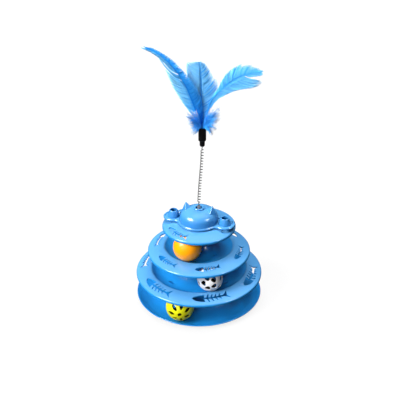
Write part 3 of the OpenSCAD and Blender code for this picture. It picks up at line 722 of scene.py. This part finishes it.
@dataclass
class RollingBall:
    """A hollow ball of two halves, with painted shade on the inside of the shell."""

    name: str
    finish: BallPlastic
    wall_mm: float

    def dress(self, nodes: Mapping[str, bpy.types.Object]) -> None:
        """Gives both halves one finish, centred on the ball.

        Args:
            nodes: The frame's CAD objects by name.
        """
        halves = [nodes[f"{self.name}_{side}_half"] for side in ("front", "back")]
        corners = np.array([corner for half in halves for corner in half.bound_box])
        low, high = corners.min(axis=0), corners.max(axis=0)
        radius = float(high[Axis.Z.value] - low[Axis.Z.value]) / 2
        centre = tuple(float(value) for value in (low + high) / 2)
        material = self.finish.make(centre, radius, self.wall_mm * MM)
        for half in halves:
            dress_solid(half, material)
        LOG.info("dressed %s, radius %.1f mm", self.name, radius / MM)


@dataclass
class TeaserSpring:
    """The spring under the feathers: one wire, cut at half height into two pieces."""

    bottom_mm: float
    height_mm: float
    lean_mm: float = 4.4
    coil_radius_mm: float = 1.8
    wire_radius_mm: float = 0.55
    coils: int = 21
    points_per_coil: int = 28
    sides: int = 10
    end_coils: float = 1.5

    def _line(self) -> np.ndarray:
        """Works out the wire's middle line, straight at both ends.

        Returns:
            Points in metres, from bottom to top.
        """
        share = np.linspace(0.0, 1.0, self.coils * self.points_per_coil + 1)
        end = self.end_coils / self.coils
        swell = smooth_step(share / end) * smooth_step((1.0 - share) / end)
        angle = -2.0 * math.pi * self.coils * share
        straight = 2.0 * self.wire_radius_mm
        x = self.lean_mm * smooth_step(share) + self.coil_radius_mm * swell * np.cos(angle)
        y = self.coil_radius_mm * swell * np.sin(angle)
        z = self.bottom_mm + straight + (self.height_mm - 2.0 * straight) * share
        line = np.stack([x, y, z], axis=1)
        foot = np.array([[0.0, 0.0, self.bottom_mm]])
        head = np.array([[self.lean_mm, 0.0, self.bottom_mm + self.height_mm]])
        return np.concatenate([foot, line, head]) * MM

    def build(self, shelf: FinishShelf) -> None:
        """Makes both halves and hides the CAD spring.

        Args:
            shelf: The finishes.
        """
        line = self._line()
        middle = len(line) // 2
        rings = tube_rings(line, np.full(len(line), self.wire_radius_mm * MM), self.sides)
        bottom = (0.0, 0.0, self.bottom_mm * MM)
        half = (self.lean_mm / 2 * MM, 0.0, float(line[middle][Axis.Z.value]))
        top = (self.lean_mm * MM, 0.0, (self.bottom_mm + self.height_mm) * MM)
        halves = (
            ("spring_lower_half", rings[: middle + 1], "spinner", "spring_body", bottom, half),
            ("spring_upper_half", rings[middle:], "spring_body", "feather_head", half, top),
        )
        for name, part, below, above, start, end in halves:
            heap = MeshHeap()
            heap.add_rings(part, np.zeros(len(part)))
            piece = heap.build(name, shelf.get(WIRE))
            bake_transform(piece)
            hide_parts("spring")
            LOG.info("wound %s", name)


def between_keys(share: np.ndarray, keys: np.ndarray, points: np.ndarray) -> np.ndarray:
    """Interpolates rows of points between their keys.

    Args:
        share: Where to interpolate.
        keys: The key of each row, rising.
        points: The rows.

    Returns:
        A row for each share.
    """
    return np.stack([np.interp(share, keys, column) for column in points.T], axis=-1)


@dataclass(frozen=True)
class KeyBarb:
    """A barb that shapes a vane's outline: where it leaves the shaft and where its tip lies."""

    at: float
    tip: Point2


@dataclass(frozen=True)
class VaneGroup:
    """Barbs that cling together between two splits of the vane."""

    keys: tuple[KeyBarb, ...]

    def starts(self) -> np.ndarray:
        """Gives the shares of the shaft where the key barbs leave it."""
        return np.array([key.at for key in self.keys])

    def tips(self) -> np.ndarray:
        """Gives the tips of the key barbs, in millimetres."""
        return np.array([key.tip for key in self.keys])


def group(*keys: tuple[float, float, float]) -> VaneGroup:
    """Writes a vane group as (share of the shaft, tip x, tip z) in millimetres."""
    return VaneGroup(tuple(KeyBarb(at, (x, z)) for at, x, z in keys))


@dataclass(frozen=True)
class Vane:
    """One side of a feather, with its groups from the base to the tip.

    Its barbs lean back by recede_mm over each LEAN_SPAN_MM. Those beside a slit get painted shade,
    darker by slit.
    """

    groups: tuple[VaneGroup, ...]
    recede_mm: float
    tone: float
    # Depth of the painted shade on barbs beside a slit.
    slit: float
    evening: float = 0.06
    evening_steps: int = 160

    def calm_tips(self, share: np.ndarray) -> np.ndarray:
        """Evens out the tips, as if the vane had no splits.

        Args:
            share: Shares of the shaft.

        Returns:
            A tip for each share, in millimetres.
        """
        starts = np.concatenate([part.starts() for part in self.groups])
        tips = np.concatenate([part.tips() for part in self.groups])
        grid = np.linspace(starts[0], starts[-1], self.evening_steps)
        weights = np.exp(-0.5 * ((grid[:, None] - grid[None, :]) / self.evening) ** 2)
        calm = (weights / weights.sum(axis=1, keepdims=True)) @ between_keys(grid, starts, tips)
        return between_keys(share, grid, calm)


class Shaft:
    """A smooth curve through a feather's shaft points, in millimetres."""

    def __init__(self, points_mm: Sequence[Point3], span_steps: int = 24) -> None:
        """Fits the curve.

        Args:
            points_mm: Points from the quill to the tip.
            span_steps: Straight pieces between two points.
        """
        points = np.array(points_mm)
        before = 2 * points[:1] - points[1:2]
        after = 2 * points[-1:] - points[-2:-1]
        padded = np.concatenate([before, points, after])
        steps = np.linspace(0.0, 1.0, span_steps, endpoint=False)[:, None]
        spans = []
        for p0, p1, p2, p3 in zip(padded, padded[1:], padded[2:], padded[3:]):
            bend = 2 * p0 - 5 * p1 + 4 * p2 - p3
            twist = 3 * p1 - p0 - 3 * p2 + p3
            spans.append(0.5 * (2 * p1 + (p2 - p0) * steps + bend * steps**2 + twist * steps**3))
        self.curve = np.concatenate(spans + [points[-1:]])
        pieces = np.linalg.norm(np.diff(self.curve, axis=0), axis=1)
        travel = np.concatenate([[0.0], np.cumsum(pieces)])
        self.length = float(travel[-1])
        self.share = travel / travel[-1]

    def at(self, share: np.ndarray) -> np.ndarray:
        """Gives the points at shares of the length."""
        return between_keys(share, self.share, self.curve)

    def heading(self, share: np.ndarray, reach: float = 0.01) -> np.ndarray:
        """Gives the directions towards the tip at shares of the length."""
        return unit(self.at(np.minimum(share + reach, 1.0)) - self.at(np.maximum(share - reach, 0.0)))


@dataclass
class Feather:
    """A dyed feather: a tapered shaft and two vanes of single barbs.

    The shaft's points and the tips are in millimetres. The tips lie in a plane that faces the
    front, and each vane leans out of it by its own amount. Barbs of one vane run side by side near
    the shaft, and part towards the tips of their own groups.
    """

    name: str
    node: str
    shaft_mm: tuple[Point3, ...]
    left: Vane
    right: Vane
    shaft_tones: Point2
    seed: int
    shaft_radii_mm: Point2 = (0.85, 0.23)
    barbs_per_mm: float = 2.6
    barb_overlap: float = 0.62
    barb_half_mm: Point2 = (0.12, 0.7)
    thickness_mm: float = 0.07
    shortest_mm: float = 0.5
    rings: int = 8
    bow: float = 0.1
    part_from: float = 0.25
    taper_from: float = 0.72
    taper_rate: float = 2.6
    depth_scatter_mm: float = 0.1
    tip_scatter_mm: float = 0.25
    clump: float = 0.22
    clump_pull: Point2 = (0.3, 1.3)
    clump_barbs: tuple[int, int] = (7, 20)
    clump_lift_mm: float = 0.4
    slit_sink_mm: float = 0.6
    # Painted shade of the first barbs of each clump, beside its slit.
    slit_painted_shade: Point3 = (0.8, 1.0, 0.8)
    base_shade: float = 0.3
    base_share: float = 0.45
    edge_tone: float = 0.22
    tone_scatter: float = 0.06

    def _grow_vane(self, heap: MeshHeap, shaft: Shaft, vane: Vane, rng: np.random.Generator) -> None:
        """Grows the barbs of one side.

        Args:
            heap: The mesh to add to.
            shaft: The shaft's curve.
            vane: The side.
            rng: Seeded randomness.
        """
        s = np.linspace(0.0, 1.0, self.rings)
        for part in vane.groups:
            starts = part.starts()
            count = max(4, int((starts[-1] - starts[0]) * shaft.length * self.barbs_per_mm))
            t = np.linspace(starts[0], starts[-1], count)
            ends, slits, lifts = self._clumped(between_keys(t, starts, part.tips()), rng)
            roots, headings, calm = shaft.at(t), shaft.heading(t), vane.calm_tips(t)
            root_gap = np.linalg.norm(np.gradient(roots, axis=0), axis=1)
            tip_gap = np.linalg.norm(np.gradient(ends, axis=0), axis=1)
            shade = self.base_shade * (1.0 - smooth_step(t / self.base_share))
            for i in range(count):
                reach = np.array([calm[i][0] - roots[i][0], 0.0, calm[i][1] - roots[i][2]])
                drift = np.array([ends[i][0] - calm[i][0], 0.0, ends[i][1] - calm[i][1]])
                length = float(np.linalg.norm(reach + drift))
                if length < self.shortest_mm:
                    continue
                line = self._barb_line(roots[i], reach, drift, headings[i])
                scatter = rng.uniform(-self.depth_scatter_mm, self.depth_scatter_mm)
                line[:, Axis.Y.value] += vane.recede_mm * (s**1.4) * length / LEAN_SPAN_MM
                line[:, Axis.Y.value] += lifts[i] * s + scatter
                gap = root_gap[i] * (1 - s) + tip_gap[i] * s
                half = np.clip(self.barb_overlap * gap, *self.barb_half_mm)
                half *= np.where(s > self.taper_from, 1.0 - self.taper_rate * (s - self.taper_from), 1.0)
                tones = vane.tone - shade[i] + self.edge_tone * (s - 0.5)
                # Barbs beside a slit get painted shade.
                tones = tones - vane.slit * slits[i] * np.sqrt(s) + rng.normal(0.0, self.tone_scatter)
                heap.add_rings(self._ribbon(line, half) * MM, np.clip(tones, 0.0, 1.0))

    def _barb_line(
        self, root: np.ndarray, reach: np.ndarray, drift: np.ndarray, heading: np.ndarray
    ) -> np.ndarray:
        """Draws a barb's middle line, bowed away from the feather's tip.

        Args:
            root: Where the barb leaves the shaft.
            reach: From the root to the tip of the even vane.
            drift: From there to the barb's own tip.
            heading: The shaft's direction at the root.

        Returns:
            Points in millimetres, from the root outwards.
        """
        s = np.linspace(0.0, 1.0, self.rings)
        length = float(np.linalg.norm(reach + drift))
        side = np.array([-reach[2], 0.0, reach[0]]) / max(float(np.linalg.norm(reach)), 0.1)
        if float(side @ heading) > 0:
            side = -side
        parting = smooth_step((s - self.part_from) / (1.0 - self.part_from))
        bow = 4.0 * self.bow * length * s * (1.0 - s) * (1.0 - 0.4 * s)
        return root + s[:, None] * reach + parting[:, None] * drift + bow[:, None] * side

    def _ribbon(self, line: np.ndarray, half: np.ndarray) -> np.ndarray:
        """Gives a barb its flat section.

        Args:
            line: The barb's middle line in millimetres.
            half: Half its width at each point.

        Returns:
            Rings of four points.
        """
        along = unit(np.gradient(line, axis=0))
        normal = unit(np.cross(along, np.cross(np.array([0.0, -1.0, 0.0]), along)))
        across = half[:, None] * np.cross(along, normal)
        thick = self.thickness_mm * np.linspace(1.0, 0.5, len(line))[:, None] * normal
        return np.stack([line + across, line + thick, line - across, line - thick], axis=1)

    def _clumped(
        self, tips: np.ndarray, rng: np.random.Generator
    ) -> tuple[np.ndarray, np.ndarray, np.ndarray]:
        """Draws neighbouring tips together, so that the vane parts along a few slits.

        Args:
            tips: Tips in order along the vane.
            rng: Seeded randomness.

        Returns:
            The tips after clumping, how deep the painted shade of the slit beside each barb is, and how
            far its clump stands out of the vane in millimetres.
        """
        drawn = tips.copy()
        slit = np.zeros(len(tips))
        lift = np.zeros(len(tips))
        start = 0
        while start < len(tips):
            stop = min(len(tips), start + int(rng.integers(*self.clump_barbs)))
            middle = tips[start:stop].mean(axis=0)
            pull = self.clump * rng.uniform(*self.clump_pull)
            drawn[start:stop] += pull * (middle - tips[start:stop])
            # The first barbs of each clump get painted shade, as dark lines along the slit.
            edge = np.array(self.slit_painted_shade)[: stop - start]
            lift[start:stop] = rng.uniform(-self.clump_lift_mm, self.clump_lift_mm)
            slit[start : start + len(edge)] = edge * rng.uniform(0.25, 1.0)
            lift[start : start + len(edge)] = -self.slit_sink_mm
            start = stop
        return drawn + rng.normal(0.0, self.tip_scatter_mm, drawn.shape), slit, lift

    def build(self, shelf: FinishShelf) -> None:
        """Makes the vanes and the shaft and seats them on the feather head.

        Args:
            shelf: The finishes.
        """
        rng = np.random.default_rng(self.seed)
        shaft = Shaft(self.shaft_mm)
        heap = MeshHeap()
        for vane in (self.left, self.right):
            self._grow_vane(heap, shaft, vane, rng)
        vanes = heap.build(f"{self.name}_vanes", shelf.get(FEATHER))
        stem = MeshHeap()
        t = np.linspace(0.0, 1.0, 60)
        low_tone, high_tone = self.shaft_tones
        rings = tube_rings(shaft.at(t) * MM, taper(self.shaft_radii_mm, t), 8)
        stem.add_rings(rings, low_tone + (high_tone - low_tone) * t)
        rachis = stem.build(f"{self.name}_shaft", shelf.get(FEATHER))
        for piece in (vanes, rachis):
            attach(piece, "feather_head")
            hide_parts(self.node)
        LOG.info("grew %s with %d faces", self.name, len(heap.faces))


@dataclass
class DownPlume:
    """A short downy plume at the sleeve's mouth: a soft blue body with a fringe of pale hairs.

    The outline runs from the drooping side to the upright side, as (x, z) in millimetres.
    """

    name: str
    node: str
    root_mm: Point3
    outline_mm: tuple[Point2, ...]
    lean_mm: float
    seed: int
    body_strands: int = 280
    body_reach: Point2 = (0.35, 0.88)
    body_radii_mm: Point2 = (0.5, 0.14)
    hairs: int = 90
    hair_reach: Point2 = (0.85, 1.06)
    hair_radii_mm: Point2 = (0.34, 0.2)
    root_scatter_mm: Point3 = (0.6, 0.6, 0.18)
    depth_scatter_mm: float = 4.5
    tip_scatter_mm: float = 0.5
    arch: float = 0.16
    curl_mm: Point2 = (0.1, 0.6)
    curl_rad: float = 6.0
    rings: int = 10

    def _strand(self, reach: float, rng: np.random.Generator) -> np.ndarray:
        """Draws one strand, which arches up from the sleeve and out to the outline.

        Args:
            reach: Share of the way to the outline.
            rng: Seeded randomness.

        Returns:
            Points in millimetres, from the root outwards.
        """
        outline = np.array(self.outline_mm)
        at = rng.uniform(0.0, len(outline) - 1.0)
        tip_x, tip_z = between_keys(at, np.arange(len(outline)), outline)
        root = np.array(self.root_mm)
        start = root + rng.normal(0.0, self.root_scatter_mm, 3)
        depth = self.lean_mm + self.depth_scatter_mm * rng.normal()
        span = reach * np.array([tip_x - root[0], depth, tip_z - root[2]])
        goal = root + span + rng.normal(0.0, self.tip_scatter_mm, 3)
        length = float(np.linalg.norm(span))
        middle = start + 0.5 * (goal - start) + rng.normal(0.0, 0.05, 3) * length
        droop = max(0.0, 18.0 - span[Axis.Z.value])
        middle[Axis.Z.value] += (self.arch + 0.012 * droop) * length
        s = np.linspace(0.0, 1.0, self.rings)[:, None]
        line = (1 - s) ** 2 * start + 2 * s * (1 - s) * middle + s**2 * goal
        curl = rng.uniform(*self.curl_mm) * s[:, 0] ** 2
        phase = rng.uniform(0.0, 2.0 * math.pi)
        line[:, Axis.X.value] += curl * np.sin(self.curl_rad * s[:, 0] + phase)
        line[:, Axis.Z.value] += curl * np.cos(self.curl_rad * s[:, 0] + phase)
        return line

    def build(self, shelf: FinishShelf) -> None:
        """Grows the strands and seats them on the feather head.

        Args:
            shelf: The finishes.
        """
        rng = np.random.default_rng(self.seed)
        heap = MeshHeap()
        s = np.linspace(0.0, 1.0, self.rings)
        for _ in range(self.body_strands):
            line = self._strand(rng.uniform(*self.body_reach), rng)
            tones = 0.12 + rng.uniform(0.1, 0.5) * s
            heap.add_rings(tube_rings(line * MM, taper(self.body_radii_mm, s), 4), tones)
        for _ in range(self.hairs):
            line = self._strand(rng.uniform(*self.hair_reach), rng)
            tones = 0.3 + rng.uniform(0.5, 0.7) * smooth_step((s - 0.4) / 0.45)
            heap.add_rings(tube_rings(line * MM, taper(self.hair_radii_mm, s), 4), tones)
        piece = heap.build(self.name, shelf.get(DOWN))
        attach(piece, "feather_head")
        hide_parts(self.node)
        LOG.info("grew %s with %d faces", self.name, len(heap.faces))


BALLS = (
    RollingBall("yellow_ball", YELLOW, 1.6),
    RollingBall("white_ball", WHITE, 1.6),
    RollingBall("orange_ball", ORANGE, 1.6),
)
LONG_FEATHER = Feather(
    name="long_feather",
    node="left_feather",
    shaft_mm=(
        (2.4, -0.4, 250.4), (2.2, -0.5, 260.6), (-0.3, -1.2, 268), (-4.7, -2.2, 285),
        (-11.3, -3.4, 303.7), (-16.6, -4.2, 317.4), (-23, -5, 328.7), (-29.3, -5.4, 338.8),
        (-41.9, -5.2, 352.6), (-52, -4.6, 359.8), (-66, -3.6, 366),
    ),
    left=Vane(
        groups=(
            group(
                (0.09, -4, 272), (0.19, -13.5, 283), (0.27, -21, 293.5), (0.35, -27.5, 304),
                (0.43, -33.5, 315), (0.49, -36.6, 323.5), (0.55, -42.3, 337.7),
            ),
            group((0.56, -43, 343.2), (0.585, -50.3, 351.8), (0.61, -48.6, 351.6)),
            group(
                (0.625, -46.6, 352.8), (0.75, -56, 359.4), (0.86, -62, 362), (0.97, -69, 364.6),
                (1.0, -71.5, 366.5),
            ),
        ),
        recede_mm=4.4,
        tone=0.88,
        slit=0.3,
    ),
    right=Vane(
        groups=(
            group(
                (0.08, 4.8, 274), (0.19, 5, 289), (0.29, 2.8, 301), (0.41, -2.2, 313),
                (0.52, -8.5, 324), (0.6, -16, 333), (0.68, -24, 342.5), (0.76, -33, 351.8),
                (0.85, -44.5, 359.8), (0.94, -57, 366.4), (1.0, -68.5, 367.6),
            ),
        ),
        recede_mm=3.4,
        tone=0.42,
        slit=0.6,
    ),
    shaft_tones=(0.05, 0.15),
    seed=11,
    edge_tone=0.45,
)
UPRIGHT_FEATHER = Feather(
    name="upright_feather",
    node="upright_feather",
    shaft_mm=(
        (4.6, 2.2, 250.4), (4.6, 2.3, 260.6), (3.6, 3, 275), (3.5, 3.6, 299.1),
        (3, 4, 312.9), (2.4, 4.2, 331), (1.3, 4, 341), (0.2, 3.8, 346),
    ),
    left=Vane(
        groups=(
            group(
                (0.2, -6, 285), (0.33, -11, 303), (0.49, -14, 319), (0.64, -15.4, 333),
                (0.77, -16, 340.5), (0.86, -15, 344.8), (0.93, -8, 345.8), (1.0, -1.5, 346.4),
            ),
        ),
        recede_mm=2.0,
        tone=0.92,
        slit=0.15,
    ),
    right=Vane(
        groups=(
            group(
                (0.14, 11, 279), (0.26, 18.5, 291), (0.37, 23.6, 303), (0.45, 24.4, 311),
                (0.52, 23.4, 318.5), (0.575, 22, 322), (0.6, 18.6, 324), (0.7, 15.6, 330.8),
                (0.82, 11.6, 338), (0.92, 7.4, 344), (1.0, 2.2, 346.6),
            ),
        ),
        recede_mm=2.6,
        tone=0.9,
        slit=1.0,
    ),
    shaft_tones=(0.05, 0.3),
    seed=12,
)
SIDE_FEATHER = Feather(
    name="side_feather",
    node="right_feather",
    shaft_mm=(
        (6.6, 0, 250.4), (6.7, -0.1, 260.6), (9.7, -0.8, 274.2), (11.8, -1.4, 285.1),
        (15.1, -2, 295.6), (19.4, -2.4, 302.5), (28, -2.8, 311.7), (44.1, -3, 324.2),
        (60.1, -3, 331), (78.5, -2.6, 334.2),
    ),
    left=Vane(
        groups=(
            group(
                (0.41, 23.4, 309), (0.49, 25.6, 315), (0.55, 28.2, 322), (0.61, 34.2, 332.1),
                (0.67, 41.6, 338.8), (0.73, 53.5, 344.9), (0.75, 52, 341.2), (0.79, 58.5, 343.4),
                (0.835, 65.8, 343.8), (0.85, 66.4, 341.6), (0.9, 73, 340), (0.96, 80.9, 335.9),
                (1.0, 79.4, 334.9),
            ),
        ),
        recede_mm=3.4,
        tone=0.7,
        slit=0.4,
    ),
    right=Vane(
        groups=(
            group(
                (0.28, 20, 296.5), (0.39, 28.2, 302.3), (0.47, 37, 307), (0.55, 46, 311),
                (0.61, 56, 313.8), (0.67, 67, 314.6), (0.73, 75, 317.8), (0.77, 79.3, 321.9),
                (0.795, 77, 323.8), (0.82, 71.5, 326),
            ),
            group(
                (0.83, 65.5, 328.9), (0.87, 72, 330), (0.92, 77, 330.5), (0.96, 79.8, 330.8),
                (1.0, 80.4, 333),
            ),
        ),
        recede_mm=-1.6,
        tone=0.78,
        slit=0.08,
    ),
    shaft_tones=(0.1, 0.75),
    seed=13,
    clump=0.1,
)
DOWN_PLUMES = (
    DownPlume(
        name="left_down",
        node="left_down_plume",
        root_mm=(3, -2.2, 260.2),
        outline_mm=(
            (-4.5, 254), (-9.2, 251.5), (-11.6, 260), (-14.5, 267), (-15, 275), (-18.5, 281),
            (-9, 284), (-2, 286),
        ),
        lean_mm=-5,
        seed=21,
    ),
    DownPlume(
        name="right_down",
        node="right_down_plume",
        root_mm=(5.8, -2.2, 260.2),
        outline_mm=(
            (15, 257), (18.9, 251.5), (22.8, 260), (25, 267.5), (27.2, 275), (27, 280), (30, 291),
            (20, 288), (10, 284),
        ),
        lean_mm=-5,
        seed=22,
    ),
    DownPlume(
        name="back_down",
        node="back_down_plume",
        root_mm=(3.4, 2.4, 260.2),
        outline_mm=((-9, 264), (-10, 274), (-3, 283), (8, 284), (17, 276), (18, 264)),
        lean_mm=9,
        seed=23,
        body_strands=200,
        hairs=60,
    ),
)


# Studio


@dataclass
class PhotoCamera:
    """The camera at the photograph's viewing angle."""

    place_mm: Point3 = (1.45, -869.32, 619.6)
    target_mm: Point3 = (1.45, 0.0, 152.23)
    focal_px: float = 719.7
    image_px: float = 400.0
    sensor_mm: float = 36.0

    def build(self) -> None:
        """Makes the camera and sets it as the scene's own."""
        lens = bpy.data.cameras.new("photo_camera")
        lens.sensor_fit = "HORIZONTAL"
        lens.sensor_width = self.sensor_mm
        lens.lens = self.focal_px / self.image_px * self.sensor_mm
        lens.clip_start = 0.01
        lens.clip_end = 50.0
        camera = bpy.data.objects.new("photo_camera", lens)
        place = Vector(self.place_mm) * MM
        camera.location = place
        aim = Vector(self.target_mm) * MM - place
        camera.rotation_euler = aim.to_track_quat("-Z", "Y").to_euler()
        bpy.context.scene.collection.objects.link(camera)
        bpy.context.scene.camera = camera


@dataclass(frozen=True)
class SoftLight:
    """A wide, even studio light that comes from one side of the sky."""

    name: str
    azimuth_deg: float
    elevation_deg: float
    width_deg: float
    strength: float
    in_gloss: bool = True
    in_diffuse: bool = True

    def build(self) -> None:
        """Makes the light; azimuth 0 is the front and grows to the right."""
        light = bpy.data.lights.new(self.name, "SUN")
        light.angle = math.radians(self.width_deg)
        light.energy = self.strength
        lamp = bpy.data.objects.new(self.name, light)
        turn, rise = math.radians(self.azimuth_deg), math.radians(self.elevation_deg)
        level = math.cos(rise)
        heading = Vector((math.sin(turn) * level, -math.cos(turn) * level, math.sin(rise)))
        lamp.location = heading
        lamp.visible_glossy = self.in_gloss
        lamp.visible_diffuse = self.in_diffuse
        lamp.rotation_euler = (-heading).to_track_quat("-Z", "Y").to_euler()
        bpy.context.scene.collection.objects.link(lamp)


@dataclass
class Studio:
    """A pale floor, a white wall all round it, a dim room and a few soft lights."""

    lights: tuple[SoftLight, ...] = (
        SoftLight("key_light", -67, 41, 28, 4.8),
        SoftLight("right_light", 63, 41, 18, 1.3, in_diffuse=False),
        SoftLight("front_fill", -36, 28, 50, 2.4, in_gloss=False),
        SoftLight("top_light", 160, 70, 46, 4.9, in_gloss=False),
    )
    room_strength: float = 0.06
    floor_half_mm: float = 6000.0
    wall_height_mm: float = 9000.0
    floor_tone: float = 0.08
    floor_glow: float = 0.84

    @staticmethod
    def _add_stage(
        name: str, points: list[Point3], faces: list[tuple[int, ...]], tone: float, glow: float
    ) -> bpy.types.Object:
        """Makes a piece of the set that glows in the picture but throws no light on the toy.

        Args:
            name: The piece's name.
            points: Its corners in metres.
            faces: Its faces.
            tone: Its grey tone.
            glow: Its own light.

        Returns:
            The piece.
        """
        mesh = bpy.data.meshes.new(name)
        mesh.from_pydata(points, [], faces)
        kit = ShaderKit(f"pale_{name}")
        mesh.materials.append(
            kit.finish(
                {
                    "Base Color": (tone, tone, tone, 1.0),
                    "Roughness": 0.9,
                    "Specular IOR Level": 0.0,
                    "Emission Color": (1.0, 1.0, 1.0, 1.0),
                    "Emission Strength": glow,
                }
            )
        )
        piece = bpy.data.objects.new(name, mesh)
        piece.visible_diffuse = False
        piece.visible_glossy = False
        bpy.context.scene.collection.objects.link(piece)
        return piece

    def build(self) -> None:
        """Makes the set, the room's light and the studio lights, and keeps colours unfiltered."""
        bpy.context.scene.view_settings.view_transform = "Standard"
        world = bpy.data.worlds.new("dim_room")
        world.use_nodes = True
        background = world.node_tree.nodes["Background"]
        background.inputs["Color"].default_value = (1.0, 1.0, 1.0, 1.0)
        background.inputs["Strength"].default_value = self.room_strength
        bpy.context.scene.world = world
        for light in self.lights:
            light.build()
        half, top = self.floor_half_mm * MM, self.wall_height_mm * MM
        low = [(-half, -half, 0.0), (half, -half, 0.0), (half, half, 0.0), (-half, half, 0.0)]
        high = [(x, y, top) for x, y, _ in low]
        self._add_stage("floor", low, [(0, 1, 2, 3)], self.floor_tone, self.floor_glow)
        sides = [(i, (i + 1) % 4, (i + 1) % 4 + 4, i + 4) for i in range(4)]
        wall = self._add_stage("wall", low + high, sides, 0.0, 1.0)
        wall.visible_shadow = False


def main() -> None:
    """Loads the frame and builds every piece in order."""
    logging.basicConfig(level=logging.INFO, format="%(name)s: %(message)s")
    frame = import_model()
    shelf = FinishShelf()
    PhotoCamera().build()
    Studio().build()
    MouldedPieces(NODE_FINISHES).dress(frame["nodes"], shelf)
    for ball in BALLS:
        ball.dress(frame["nodes"])
    spring_low, spring_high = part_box("spring")
    bottom_mm, top_mm = spring_low[Axis.Z.value] / MM, spring_high[Axis.Z.value] / MM
    TeaserSpring(bottom_mm, top_mm - bottom_mm).build(shelf)
    for feather in (LONG_FEATHER, UPRIGHT_FEATHER, SIDE_FEATHER):
        feather.build(shelf)
    for plume in DOWN_PLUMES:
        plume.build(shelf)


if __name__ == "__main__":
    main()
